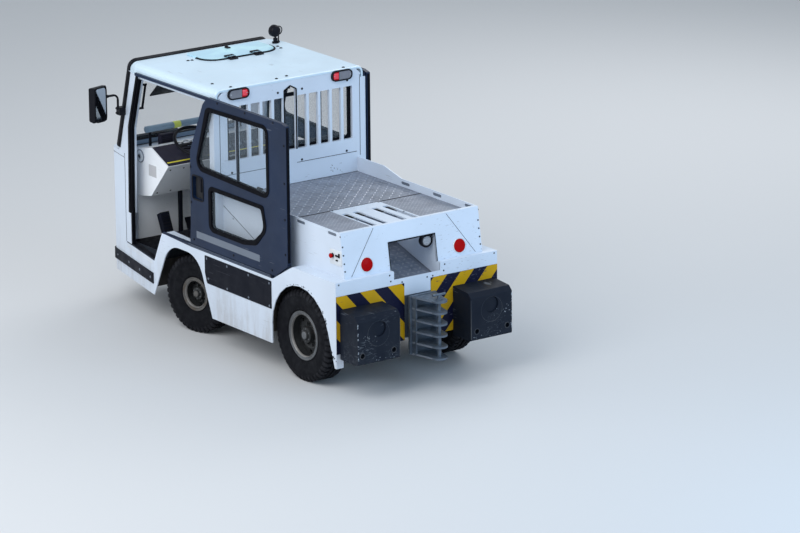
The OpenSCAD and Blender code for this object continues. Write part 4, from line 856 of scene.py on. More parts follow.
def buildRearBox(spec):
    y, z, r = spec["lamp"]
    rims = Shape()
    rim = [(r - 0.0075, 0.000), (r - 0.0070, 0.007), (r - 0.0045, 0.008), (r - 0.002, 0.004),
           (r - 0.002, 0.000)]
    for side in (1, -1):
        rims.turned(rim, onLean(side * y, z, 0.0005), leanOut, 48, True)
    piece(rims, "rear_lamp_rims", "body_paint", look="label")
    # Blank stop plate on the left side with its button and switches
    face = spec["half"]
    outline = [(-p.x, p.y) for p in rounded(rectangle(*spec["stopPlate"]), 0.012)]
    plate = Shape().plate(outline, (0, face, 0), rearward, upward, 0.004, None, 0.0012)
    piece(plate, "stop_plate", "body_paint", look="label")
    x, z = spec["button"]
    collar = [(0.017, 0.0035), (0.017, 0.007), (0.012, 0.009), (0, 0.009)]
    button = [(0.009, 0.006), (0.009, 0.016), (0.0175, 0.019), (0.0185, 0.024), (0.014, 0.029), (0, 0.030)]
    piece(Shape().turned(collar, (x, face, z), leftward, 28), "stop_collar", "plastic_black")
    piece(Shape().turned(button, (x, face, z), leftward, 28), "stop_button", "lamp_red")
    switches = Shape()
    for x, z, w, h in spec["switches"]:
        switches.box((x - w / 2, face + 0.003, z - h / 2), (x + w / 2, face + 0.012, z + h / 2), 0.002)
    piece(switches, "stop_switches", "plastic_black")
    # Work lamp: rim, lens and flutes towards the rear, and its bracket
    y, z = spec["workLamp"]
    x = leanX(1.0) + 0.028
    rim = [(0.040, -0.029), (0.050, -0.026), (0.0510, -0.001), (0.0510, 0.007), (0.040, 0.009),
           (0.037, 0.003)]
    lens = [(0.038, 0.001), (0.034, 0.006), (0.020, 0.009), (0, 0.010)]
    piece(Shape().turned(rim, (x, y, z), rearward, 40, True), "work_lamp_rim", "plastic_black")
    piece(Shape().turned(lens, (x, y, z), rearward, 40), "work_lamp_lens", "lamp_clear", look="workLens")
    flutes = Shape()
    for k in range(-3, 4):
        off = 0.0095 * k
        reach = math.sqrt(0.034 ** 2 - off ** 2)
        flutes.box((x - 0.0100, y + off - 0.0016, z - reach), (x - 0.0060, y + off + 0.0016, z + reach),
                   0.0006)
    for off in (-0.013, 0.013):
        flutes.box((x - 0.0104, y - 0.030, z + off - 0.001), (x - 0.0060, y + 0.030, z + off + 0.001), 0.0005)
    piece(flutes, "work_lamp_flutes", "lamp_clear", look="lens")
    bracket = Shape().box((x - 0.010, y - 0.052, z + 0.030), (x + 0.060, y + 0.052, z + 0.052), 0.004)
    bracket.box((x + 0.030, y - 0.057, z - 0.02), (x + 0.062, y - 0.043, z + 0.052), 0.003)
    piece(bracket, "work_lamp_bracket", "plastic_black")
    # Seams between the sheets, then the rubber along the edge of the recess
    seams = Shape()
    for side in (1, -1):
        seams.bar((1.076, side * face, 1.074), (0.668, side * face, 0.901), 0.004, 0.0012, (0, side, 0))
    for side in (1, -1):
        a, b = onLean(side * 0.550, 0.868, 0.0004), onLean(side * 0.323, 1.182, 0.0004)
        seams.bar(a, b, 0.0028, 0.001, leanOut)
    seams.bar((1.0775, 0.605, 1.1395), (1.0775, -0.605, 1.1395), 0.005, 0.001, upward)
    seams.bar((0.27, 0.602, 1.1380), (0.27, -0.602, 1.1380), 0.0075, 0.0034, upward)
    piece(seams, "box_seams", "seal_rubber", look="darkGap")
    edge = Shape()
    (low, top), y = spec["recessZ"], spec["recessY"]
    for side in (1, -1):
        edge.bar(onLean(side * y, low, 0.001), onLean(side * y, top, 0.001), 0.006, 0.003, leanOut, 0.001)
    x = leanX(top) - 0.001
    edge.bar((x, -0.209, top + 0.002), (x, 0.209, top + 0.002), 0.009, 0.004, leanOut, 0.001)
    piece(edge, "recess_edge", "seal_rubber")
    # White side plates in the recess, and grey liners behind the slots of the tray walls
    walls, liners = Shape(), Shape()
    y = spec["wall"]
    outline = [(-0.494, 0.7365), (0.027, 0.8905), (0.027, 1.128), (leanX(1.128) + 0.012, 1.128),
               (leanX(0.858) + 0.012, 0.851), (-0.494, 0.849)]
    walls.plate([(-a, b) for a, b in outline], (0, -y, 0), rearward, upward, 0.0015)
    walls.plate(outline, (0, y, 0), forward, upward, 0.0015)
    piece(walls, "recess_walls", "body_paint")
    for side in (1, -1):
        for x in spec["slots"]:
            liners.box((x - 0.0525, side * 0.6055, 1.1565), (x + 0.0525, side * 0.6075, 1.1795))
    piece(liners, "slot_liners", "bare_plate", look="slateLight")
    y, heights = spec["leanBolts"]
    places = [(onLean(side * y, z, 0.0004), leanOut) for side in (1, -1) for z in heights]
    x = spec["rearX"]
    places += [((x, side * y, z), rearward) for side in (1, -1) for y, z in spec["rearBolts"]]
    z, row = spec["middleBolts"]
    places += [((x, y, z), rearward) for y in row]
    places += [((x, side * face, z), (0, side, 0)) for side in (1, -1) for x, z in spec["sideBolts"]]
    bolts("box_bolts", places, 0.0042, 0.002, "galvanised", look="chip", sides=8)


buildDeck(deckSpec)
buildRearBox(boxSpec)
print("deck and rear box done")


# Hitch and ballast
hitchSpec = {
    "boltY": 0.094, "boltZ": (0.275, 0.45, 0.635), "face": -0.5775, "plates": 6, "plateZ": 0.235,
    "platePitch": 0.085, "ballastX": -0.727, "boreY": (0.369, 0.643), "boreZ": 0.358, "lineY": 0.3165,
}


def buildHitch(spec):
    places = [((spec["face"], side * spec["boltY"], z), rearward) for side in (1, -1) for z in spec["boltZ"]]
    bolts("tower_bolts", places, 0.010, 0.010, "galvanised")
    # Edges of the tow plates rubbed bright, and the welds above and below each plate
    rubbed, weld = Shape(), Shape()
    for k in range(spec["plates"]):
        z = spec["plateZ"] + spec["platePitch"] * k
        for side in (1, -1):
            a, b = Vector((-0.580, side * 0.1022, z + 0.007)), Vector((-0.768, side * 0.0605, z + 0.007))
            rubbed.bar(a, b, 0.0125, 0.0008, Vector((b.y - a.y, a.x - b.x, 0)) * side)
        for low in (z - 0.001, z + 0.015):
            weld.tube([(-0.594, y, low) for y in (-0.098, -0.05, 0.0, 0.05, 0.098)], 0.0032, 6)
    piece(rubbed, "tower_edges", "galvanised", look="slateLight")
    piece(weld, "tower_welds", "galvanised")
    # Lifting holes of the ballast with dark bores, and a rubbed line beside the tow plates
    dark, rings = Shape(), Shape()
    face = spec["ballastX"]
    rim = [(0.0188, -0.001), (0.0235, -0.001), (0.0230, 0.0012), (0.0195, 0.0015)]
    for side in (1, -1):
        for y in spec["boreY"]:
            place = (face, side * y, spec["boreZ"])
            dark.turned([(0.0185, -0.0295), (0, -0.029)], place, rearward, 24)
            rings.turned(rim, place, rearward, 28, True)
        y = side * spec["lineY"]
        rings.bar((face - 0.0005, y, 0.30), (face - 0.0005, y, 0.60), 0.005, 0.0012, rearward, 0.0004)
    piece(dark, "ballast_bores", "frame_black", look="darkGap")
    piece(rings, "ballast_rings", "body_slate", look="scuff")


buildHitch(hitchSpec)


# Chips, rust specks and scuffs
markSpec = {
    "fender": ((-0.386, 0.560), (-0.439, 0.354), (-0.524, 0.270)), "arch": (-0.057, 0.370, 0.368),
    "sideY": 0.7171, "wallX": 1.0798, "specks": (-0.479, -0.356, 1.168, 1.230), "ballastX": -0.7273,
    "ring": (0.5025, 0.505, 0.094),
    "leanSpecks": ((0.572, 1.16), (-0.545, 1.02), (0.30, 0.875), (-0.33, 0.88), (0.245, 1.13),
                   (-0.586, 0.895)),
}


# Each place is a point, the direction it faces, a size and a height in parts of that size
def flakes(name, places, slotName, look):
    shape = Shape()
    up = Vector(upward)
    for place, out, size, tall in places:
        outline = []
        for k in range(7):
            reach = size * chance.uniform(0.45, 1.0)
            outline.append((reach * math.cos(2 * math.pi * k / 7),
                            tall * reach * math.sin(2 * math.pi * k / 7)))
        shape.plate(outline, place, up.cross(Vector(out)), up, 0.0006)
    piece(shape, name, slotName, look=look)


def buildMarks(spec):
    span, spread = chance.uniform, chance.gauss
    y = spec["sideY"]
    dark = []
    for (ax, az), (bx, bz) in zip(spec["fender"], spec["fender"][1:]):
        for k in range(13):
            share = chance.random()
            inward = abs(spread(0, 0.008)) + 0.006
            place = (ax + (bx - ax) * share + inward, y, az + (bz - az) * share)
            dark.append((place, leftward, span(0.004, 0.012), span(0.8, 2.0)))
    x, z, r = spec["arch"]
    for k in range(26):
        angle = math.radians(span(62, 158))
        reach = r + abs(spread(0, 0.004))
        place = (x + reach * math.cos(angle), y, z + reach * math.sin(angle))
        dark.append((place, leftward, span(0.003, 0.008), 1.0))
    flakes("fender_chips", dark, "body_paint", "chip")
    x = spec["wallX"]
    y0, y1, z0, z1 = spec["specks"]
    rust = [((x, span(y0, y1), span(z0, z1)), rearward, span(0.0015, 0.005), span(0.8, 1.8))
            for k in range(16)]
    rust += [(onLean(y, z, 0.0005), leanOut, span(0.0015, 0.003), 1.0) for y, z in spec["leanSpecks"]]
    flakes("rust_specks", rust, "body_paint", "rust")
    pale = []
    x = spec["ballastX"]
    for side in (1, -1):
        for k in range(16):
            z = span(0.31, 0.595)
            y = side * (0.6835 - abs(spread(0, 0.003)))
            pale.append(((x, y, z), rearward, span(0.002, 0.006), span(1.0, 2.6)))
        for k in range(9):
            pale.append(((x, side * span(0.33, 0.67), span(0.298, 0.33)), rearward, span(0.002, 0.005), 0.7))
        for k in range(16):
            pale.append(((x, side * spread(0.60, 0.04), spread(0.47, 0.018)), rearward, span(0.002, 0.007),
                         0.35))
    flakes("ballast_chips", pale, "body_slate", "paleChip")
    y, z, r = spec["ring"]
    rings = Shape()
    outline = [(r - 0.0011, 0), (r - 0.0011, 0.0005), (r + 0.0011, 0.0005), (r + 0.0011, 0)]
    for side in (1, -1):
        rings.turned(outline, (x + 0.0002, side * y, z), rearward, 64, True)
    piece(rings, "ballast_scuffs", "body_slate", look="scuff")


buildMarks(markSpec)
print("marks done")


# Rear wall, lamps and roof
wallSpec = {
    "x": 1.080, "bolts": ((0.527, 1.307), (0.109, 1.850), (-0.107, 1.849), (-0.516, 1.852), (0.516, 1.800),
                          (-0.098, 1.309), (-0.504, 1.311)),
    "seams": (((0.634, 1.294), (0.199, 1.294)), ((-0.054, 1.294), (-0.597, 1.294)),
              ((-0.628, 1.260), (-0.628, 1.88)), ((0.628, 1.260), (0.628, 1.88))),
    "notch": ((0.054, 1.398), (0.054, 1.858), (0.0, 1.888), (-0.054, 1.858), (-0.054, 1.398)),
    "lamp": (0.3755, 0.5495, 1.8655, 1.9345),
}


def buildRearWall(spec):
    x = spec["x"]
    bolts("wall_bolts", [((x, y, z), rearward) for y, z in spec["bolts"]], 0.006, 0.004, "plastic_black")
    seams = Shape()
    for a, b in spec["seams"]:
        seams.bar((x, *a), (x, *b), 0.004, 0.001, rearward)
    piece(seams, "wall_seams", "seal_rubber", look="darkGap")
    trim = Shape()
    for a, b in zip(spec["notch"], spec["notch"][1:]):
        trim.bar((x + 0.002, *a), (x + 0.002, *b), 0.010, 0.006, rearward, 0.001)
    piece(trim, "notch_trim", "seal_rubber")
    rims = Shape()
    rims, seams, reds = Shape(), Shape(), Shape()
    y0, y1, z0, z1 = spec["lamp"]
    for side in (1, -1):
        a, b = sorted((side * y0, side * y1))
        outer, inner = (rounded([(-y, z) for y, z in rectangle(a, b, z0, z1, margin)], radius)
                        for margin, radius in ((0.006, 0.036), (-0.0035, 0.0285)))
        rims.plate(outer, (x, 0, 0), (0, -1, 0), upward, 0.0165, inner)
        seams.box((x - 0.0150, side * 0.4342 - 0.0012, 1.873), (x - 0.0135, side * 0.4342 + 0.0012, 1.927))
        reds.box((x - 0.0150, side * 0.389, 1.878), (x - 0.0137, side * 0.431, 1.922), 0.0005)
    piece(rims, "upper_lamp_rims", "plastic_black")
    # The seam between red and clear, the brighter red, and the screws
    piece(seams, "upper_lamp_seams", "plastic_black")
    piece(reds, "upper_lamp_reds", "lamp_red", look="redBright")
    screws = [((x - 0.014, side * y, 1.900), rearward) for side in (1, -1) for y in (0.392, 0.533)]
    bolts("upper_lamp_screws", screws, 0.0035, 0.0015, "galvanised", look="chrome", sides=12)


roofSpec = {
    "z": 1.946, "hatch": (1.867, 2.170, -0.450, 0.200), "latch": (2.121, -0.144), "hinges": (-0.004, -0.236),
    "studs": ((1.996, 0.296), (1.990, 0.263), (1.965, -0.497), (1.904, -0.484), (1.281, 0.554),
              (1.118, 0.500), (1.123, 0.090), (1.148, -0.017), (1.11, -0.504)),
    "drip": (1.09, 2.055, 0.6638, 1.8660), "stalkLamp": (2.070, -0.548, 2.0383),
}


def buildRoof(spec):
    z = spec["z"]
    bolts("roof_studs", [((x, y, z), upward) for x, y in spec["studs"]], 0.0085, 0.005, "plastic_black",
          sides=8)
    # Rubber gasket round the hatch's rear edge, from one side to the other
    margin = 0.0075
    big, small = 0.120 + margin, 0.024 + margin
    line = rounded(rectangle(*spec["hatch"], margin), [big, small, small, big], 7)
    line = line[24:] + line[:8]
    path = [(2.02, line[0].y), *line, (2.02, line[-1].y)]
    piece(Shape().tube([(x, y, z + 0.0035) for x, y in path], 0.0068, 10), "hatch_seal", "seal_rubber")
    covers, ribs = Shape(), Shape()
    for y in spec["hinges"]:
        covers.box((1.8688, y - 0.038, z + 0.0095), (1.9060, y + 0.038, z + 0.0212), 0.0025)
        covers.turned([(0.0096, -0.0121), (0.0096, 0.0121)], (1.852, y, z + 0.010), leftward, 20)
        for k in range(4):
            start = y - 0.026 + 0.0155 * k
            ribs.box((1.873, start, z + 0.0205), (1.900, start + 0.005, z + 0.0230), 0.001)
    piece(covers, "hinge_covers", "plastic_black", "roof_hatch")
    x, y = spec["latch"]
    latch = Shape().box((x - 0.022, y - 0.016, z + 0.0098), (x + 0.022, y + 0.016, z + 0.020), 0.004)
    latch.box((x + 0.004, y - 0.008, z + 0.019), (x + 0.030, y + 0.008, z + 0.027), 0.003)
    piece(latch, "hatch_latch", "plastic_black", "roof_hatch")
    piece(ribs, "hinge_ribs", "plastic_black", "roof_hatch")
    # Drip strips along the roof's sides
    strip = Shape()
    x0, x1, y, low = spec["drip"]
    for side in (1, -1):
        strip.bar((x0, side * y, low), (x1, side * y, low), 0.004, 0.0025, (0, side, 0), 0.001)
    piece(strip, "drip_strips", "seal_rubber")
    # Lamp on its stalk: cooling rings behind and the lens ahead
    lamp = spec["stalkLamp"]
    lx, ly = lamp[:2]
    fins = Shape()
    for h, r in ((-0.020, 0.026), (-0.013, 0.036), (-0.006, 0.043), (0.001, 0.0449)):
        fin = [(r - 0.006, h), (r + 0.001, h), (r + 0.001, h + 0.0025), (r - 0.006, h + 0.0025)]
        fins.turned(fin, lamp, forward, 40, True)
    piece(fins, "stalk_lamp_fins", "plastic_black")
    lens = Shape().turned([(0.039, 0.0275), (0.036, 0.031), (0.020, 0.034), (0, 0.035)], lamp, forward, 40)
    piece(lens, "stalk_lamp_lens", "lamp_clear", look="lens")
    foot = Shape().box((lx - 0.012, ly - 0.014, z + 0.004), (lx + 0.012, ly + 0.014, z + 0.040), 0.003)
    foot.turned([(0.011, 0), (0.011, 0.010), (0.007, 0.012), (0, 0.012)], (lx + 0.008, ly - 0.034, z), upward,
                20)
    piece(foot, "stalk_lamp_foot", "plastic_black")


buildRearWall(wallSpec)
buildRoof(roofSpec)
print("rear wall and roof done")


# Doors and rails
doorSpec = {
    "open": 0.092, "travel": 0.978, "outer": 0.718, "grip": (1.092, 1.226, 1.100, 1.272),
    "bolts": ((0.026, 0.93), (0.026, 1.19), (0.026, 1.46), (0.026, 1.74), (0.160, 1.884), (0.520, 1.884),
              (0.880, 1.884), (1.225, 0.78), (0.70, 0.775), (0.20, 0.775), (1.250, 1.06), (1.250, 1.33)),
    "stripe": (0.358, 1.188, 0.802, 0.854), "paneLines": ((0.6505, 0.0025), (0.6355, 0.002)), "paneY": 0.7112,
}


def buildDoor(side, label, spec):
    body = "door_" + label
    shift = spec["open"] + (0 if side > 0 else spec["travel"])
    outer = spec["outer"] * side
    out = (0, side, 0)
    x0, x1, z0, z1 = spec["stripe"]
    middle = (z0 + z1) / 2
    band = Shape().bar((x0 + shift, outer, middle), (x1 + shift, outer, middle), z1 - z0, 0.0008, out)
    piece(band, "door_band_" + label, "body_slate", body, "slateLight")
    x0, x1, z0, z1 = spec["grip"]
    outline, inner = (rounded([(-side * (x + shift), z) for x, z in rectangle(x0, x1, z0, z1, margin)],
                              radius)
                      for margin, radius in ((0.010, 0.026), (-0.001, 0.015)))
    bezel = Shape().plate(outline, (0, outer, 0), (-side, 0, 0), upward, 0.0035, inner)
    bezel.box((x0 + shift + 0.020, outer, z0 + 0.060),
              (x0 + shift + 0.052, outer - side * 0.022, z1 - 0.0005), 0.004)
    piece(bezel, "door_grip_" + label, "plastic_black", body)
    back = Shape().box((x0 + shift + 0.0012, side * 0.6886, z0 + 0.0012),
                       (x1 + shift - 0.0012, side * 0.6902, z1 - 0.0012))
    piece(back, "door_grip_back_" + label, "plastic_black", body, "darkGap")
    places = [((x + shift, outer, z), out) for x, z in spec["bolts"]]
    bolts("door_bolts_" + label, places, 0.0062, 0.003, "plastic_black", body, sides=12)
    lines = Shape()
    y = side * spec["paneY"]
    for x, wide in spec["paneLines"]:
        lines.bar((x + shift, y, 1.345), (x + shift, y, 1.805), wide, 0.001, out)
    piece(lines, "door_pane_line_" + label, "body_slate", body, "slateLight")
    # Seal along the rear edge of the door, which meets the post
    x, y = 0.0012 + shift, side * 0.7035
    edge = Shape().bar((x, y, 0.87), (x, y, 1.875), 0.022, 0.003, rearward, 0.0008)
    piece(edge, "door_edge_seal_" + label, "seal_rubber", body)


for side, label in ((1, "left"), (-1, "right")):
    buildDoor(side, label, doorSpec)

# The body's sides narrow from the first of these (x, y) places to the second
taperFrom, taperTo = (1.883, 0.717), (2.680, 0.550)
yaw = math.atan2(taperFrom[1] - taperTo[1], taperTo[0] - taperFrom[0])


def sideY(x):
    return taperFrom[1] - (x - taperFrom[0]) * math.tan(yaw)


def onSide(x, side, z, lift=0.0):
    return (x, side * (sideY(x) + lift), z)


def sideOut(side):
    return Vector((math.sin(yaw), side * math.cos(yaw), 0))


railSpec = {
    "ribX": (0.304, 1.40), "ribY": 0.7138, "ribZ": (0.7195, 0.7305), "stopX": (0.302, 1.735),
    "stopLong": 0.020, "stopY": (0.700, 0.7165), "stopZ": (0.7145, 0.7355),
}


def buildRails(spec):
    ribs, stops = Shape(), Shape()
    (x0, x1), y = spec["ribX"], spec["ribY"]
    (y0, y1), (z0, z1) = spec["stopY"], spec["stopZ"]
    for side in (1, -1):
        for z in spec["ribZ"]:
            ribs.bar((x0, side * y, z), (x1, side * y, z), 0.0028, 0.0016, (0, side, 0), 0.0005)
        for x in spec["stopX"]:
            stops.box((x, side * y0, z0), (x + spec["stopLong"], side * y1, z1), 0.003)
    piece(ribs, "rail_ribs", "body_slate", look="slateLight")
    piece(stops, "rail_stops", "plastic_black")


buildRails(railSpec)
print("doors done")


# Front body, sills and glass trim
frontSpec = {
    "face": 2.7402, "panel": (2.7404, 0.20, 0.46, 1.02), "ventHalf": 0.165, "ventZ": 0.760,
    "ventPitch": 0.026,
    "slats": 7, "boltY": 0.185, "boltZ": (0.48, 1.0), "lampX": 2.740, "lampY": (0.300, 0.400), "lampZ": 0.640,
    "sillX": (1.900, 2.400, 2.420), "sillZ": 0.500, "lineZ": (0.463, 0.479),
    "bumperX": (1.93, 2.15, 2.37, 2.60), "bumperY": (-0.38, -0.14, 0.14, 0.38), "bumperZ": 0.350,
}


def buildFront(spec):
    seams = Shape()
    x, y, z0, z1 = spec["panel"]
    for side in (1, -1):
        out = sideOut(side)
        seams.bar(onSide(2.432, side, 0.50), onSide(2.432, side, 1.188), 0.004, 0.0012, out)
        seams.bar(onSide(2.436, side, 1.155), onSide(2.66, side, 1.155), 0.003, 0.001, out)
        seams.bar((x, side * y, z0), (x, side * y, z1), 0.003, 0.001, forward)
    for z in (z1, z0):
        seams.bar((x, -y, z), (x, y, z), 0.003, 0.001, forward)
    piece(seams, "front_seams", "seal_rubber", look="darkGap")
    face, half = spec["face"], spec["ventHalf"]
    vent = Shape()
    for k in range(spec["slats"]):
        z = spec["ventZ"] + spec["ventPitch"] * k
        vent.bar((face, -half, z), (face, half, z), 0.012, 0.004, (1, 0, 0.45), 0.001)
    piece(vent, "front_vent", "plastic_black")
    places = [((face, side * spec["boltY"], z), forward) for side in (1, -1) for z in spec["boltZ"]]
    bolts("front_bolts", places, 0.006, 0.003, "galvanised", look="chrome")
    rims, lenses = Shape(), Shape()
    rim = [(0.0455, -0.001), (0.0525, 0.000), (0.0520, 0.007), (0.0470, 0.011), (0.0455, 0.008)]
    for side in (1, -1):
        for y in spec["lampY"]:
            place = (spec["lampX"], side * y, spec["lampZ"])
            rims.turned(rim, place, forward, 40, True)
            lenses.turned([(0.034, 0.0095), (0.024, 0.0140), (0, 0.0172)], place, forward, 36)
    piece(rims, "head_lamp_rims", "plastic_black")
    piece(lenses, "head_lamp_lenses", "lamp_clear", look="lens")
    # Sill under the doorway: dark tread on top, and two white lines on the outside
    tread, lines = Shape(), Shape()
    x0, x1, x2 = spec["sillX"]
    z = spec["sillZ"]
    for side in (1, -1):
        tread.bar(onSide(x0, side, z, -0.030), onSide(x1, side, z, -0.030), 0.046, 0.003, upward, 0.001)
        for low in spec["lineZ"]:
            lines.bar(onSide(x0, side, low, 0.0001), onSide(x2, side, low, 0.0001), 0.006, 0.0014,
                      sideOut(side), 0.0005)
    piece(tread, "sill_tread", "plastic_black")
    piece(lines, "sill_lines", "body_paint", look="label")
    z = spec["bumperZ"]
    places = [(onSide(x, side, z, 0.010), sideOut(side)) for side in (1, -1) for x in spec["bumperX"]]
    places += [((face + 0.010, y, z), forward) for y in spec["bumperY"]]
    bolts("bumper_bolts", places, 0.007, 0.003, "galvanised", look="slateLight", sides=12)


buildFront(frontSpec)


# Rubber along the front pillar's two edges, and the pale trim inside it
pillarSpec = {
    "front": ((2.5535, 1.215), (2.3045, 1.858)), "frontWide": 0.040,
    "rear": ((2.1215, 1.857), (2.3085, 1.420), (2.3355, 0.745)), "rearWide": 0.030,
}


def buildPillars(spec):
    shape = Shape()
    stretch = 1 / math.cos(yaw)
    for side in (1, -1):
        base = (0, side * (sideY(0) + 0.0003), 0)
        inside = (0, side * (sideY(0) - 0.0047), 0)
        u = Vector((-math.cos(yaw), side * math.sin(yaw), 0)) * side
        flip = -side * stretch
        (ax, az), (bx, bz) = spec["front"]
        wide = spec["frontWide"]
        line = [(ax, az), (bx, bz), (bx - wide, bz), (ax - wide, az)]
        shape.plate([(x * flip, z) for x, z in line], base, u, upward, 0.0035)
        line, wide = spec["rear"], spec["rearWide"]
        for (ax, az), (bx, bz) in zip(line, line[1:]):
            strip = [(ax - 0.0035, az), (bx - 0.0035, bz), (bx + wide, bz), (ax + wide, az)]
            shape.plate([(x * flip, z) for x, z in strip], inside, u, upward, 0.0085)
    piece(shape, "pillar_rubbers", "seal_rubber")
    trim = Shape()
    for side in (1, -1):
        for (ax, az), (bx, bz) in zip(spec["rear"], spec["rear"][1:]):
            a, b = (Vector((x - 0.0226, side * (sideY(x) - 0.029), z)) for x, z in ((ax, az), (bx, bz)))
            trim.bar(a, b, 0.030, 0.0016, rearward, 0.0005)
    piece(trim, "pillar_trims", "body_paint")
    # Pale strip on the inner face of the windscreen's lower bar
    cowl = Shape().bar((2.5542, -0.500, 1.2165), (2.5542, 0.500, 1.2165), 0.040, 0.0018, (-1, 0, -0.388),
                       0.0006)
    piece(cowl, "cowl_trim", "dash_plastic", look="cowl")


buildPillars(pillarSpec)

skirtSpec = {
    "y": 0.7212, "bolts": ((0.33, 0.50), (0.33, 0.67), (0.60, 0.50), (0.60, 0.67), (0.88, 0.50), (0.88, 0.67),
                           (1.13, 0.52), (1.15, 0.67)),
    # Dark plates across the wheel arches' front ends, painted shade that hides the floor seen through the
    # arches, given by two corners of the left one
    "archShadePlates": (((0.366, 0.264, 0.285), (0.370, 0.712, 0.700)),
               ((1.956, 0.270, 0.255), (1.960, 0.655, 0.492))),
}


def buildSkirts(spec):
    places = [((x, side * spec["y"], z), (0, side, 0)) for side in (1, -1) for x, z in spec["bolts"]]
    bolts("skirt_bolts", places, 0.006, 0.0025, "black_metal", look="slateLight", sides=12)
    # Dark sheets that stand for the shade inside the wheel arches, on both sides
    archShadePlates = Shape()
    for low, high in spec["archShadePlates"]:
        for side in (1, -1):
            archShadePlates.box((low[0], side * low[1], low[2]), (high[0], side * high[1], high[2]), 0.001)
    piece(archShadePlates, "arch_shade_plates", "frame_black")


buildSkirts(skirtSpec)


# Mirrors
mirrorSpec = {
    "middle": (2.425, 0.833, 1.608), "turn": 13, "half": (0.065, 0.138), "ribs": (-0.045, 0.085),
    "clampX": (2.409, 2.441), "clampY": (0.640, 0.670), "clampZ": (1.512, 1.548),
    "joint": (2.425, 0.742, 1.655),
}


def buildMirrors(spec):
    x, y, z = spec["middle"]
    wide, high = spec["half"]
    for side, label in ((1, "left"), (-1, "right")):
        angle = math.radians(spec["turn"] * side)
        turn = Matrix.Translation((x, side * y, z)) @ Matrix.Rotation(angle, 4, "Z")
        glass, rim, back = Shape(), Shape(), Shape()
        inner = rounded(rectangle(-wide + 0.0095, wide - 0.0095, -high + 0.012, high - 0.012), 0.026)
        outer = rounded(rectangle(-wide + 0.0005, wide - 0.0005, -high + 0.002, high - 0.002), 0.034)
        glass.plate(inner, (-0.0302, 0, 0), (0, -1, 0), upward, 0.0012)
        rim.plate(outer, (-0.0300, 0, 0), (0, -1, 0), upward, 0.004, inner)
        for h in spec["ribs"]:
            back.box((0.0295, -0.03, h - 0.006), (0.0350, 0.03, h + 0.006), 0.002)
        back.box((0.0295, -0.050, -0.095), (0.0315, 0.050, 0.100), 0.0008)
        piece(glass, "mirror_glass_" + label, "lamp_clear", look="mirror", turn=turn)
        piece(rim, "mirror_rim_" + label, "plastic_black", turn=turn)
        piece(back, "mirror_back_" + label, "body_paint", look="label", turn=turn)
    clamps = Shape()
    (x0, x1), (y0, y1) = spec["clampX"], spec["clampY"]
    x, y, z = spec["joint"]
    for side in (1, -1):
        for h in spec["clampZ"]:
            clamps.box((x0, side * y0, h - 0.007), (x1, side * y1, h + 0.007), 0.003)
        for profile in ([(0.0125, 0), (0.0125, 0.030), (0, 0.030)], [(0.0125, 0), (0, 0)]):
            clamps.turned(profile, (x, side * y, z), (0, side, 0), 20)
    piece(clamps, "mirror_clamps", "plastic_black")


buildMirrors(mirrorSpec)
print("front and mirrors done")


# Inside the cab: the dash top slopes up from the first of these (x, z) places to the second
slopeFoot, slopeTop = (1.985, 1.157), (2.215, 1.259)
slopeLean = math.atan2(slopeTop[1] - slopeFoot[1], slopeTop[0] - slopeFoot[0])
slopeUp = Vector((-math.sin(slopeLean), 0, math.cos(slopeLean)))


def onSlope(along, y, lift=0.0):
    c, s = math.cos(slopeLean), math.sin(slopeLean)
    return Vector((slopeFoot[0] + along * c - lift * s, y, slopeFoot[1] + along * s + lift * c))


cabSpec = {
    "socket": (2.37, 0.5, 1.164), "socketRadius": 0.045, "notice": ((2.262, 1.113), (2.152, 1.062)),
    "tube": (2.452, 1.335, 0.025, 0.397, -0.30), "switches": 7, "screwY": (-0.44, -0.15, 0.06, 0.34, 0.46),
    "gauges": ((0.13, 0.030), (0.200, 0.038), (0.27, 0.030)), "visor": (2.130, 0.245, 1.852), "visorLean": 43,
    "mats": (((1.895, 0.06, 0.4995), (2.40, 0.555, 0.506), 0.002),
             ((1.895, -0.555, 0.4995), (2.40, -0.06, 0.506), 0.002),
             ((1.12, -0.595, 0.7195), (1.722, 0.595, 0.7235), 0.001)),
    "pedal": ((2.085, 0.500), (2.190, 0.750)), "pedalRibs": 9, "wheel": (2.060, 0.200),
}


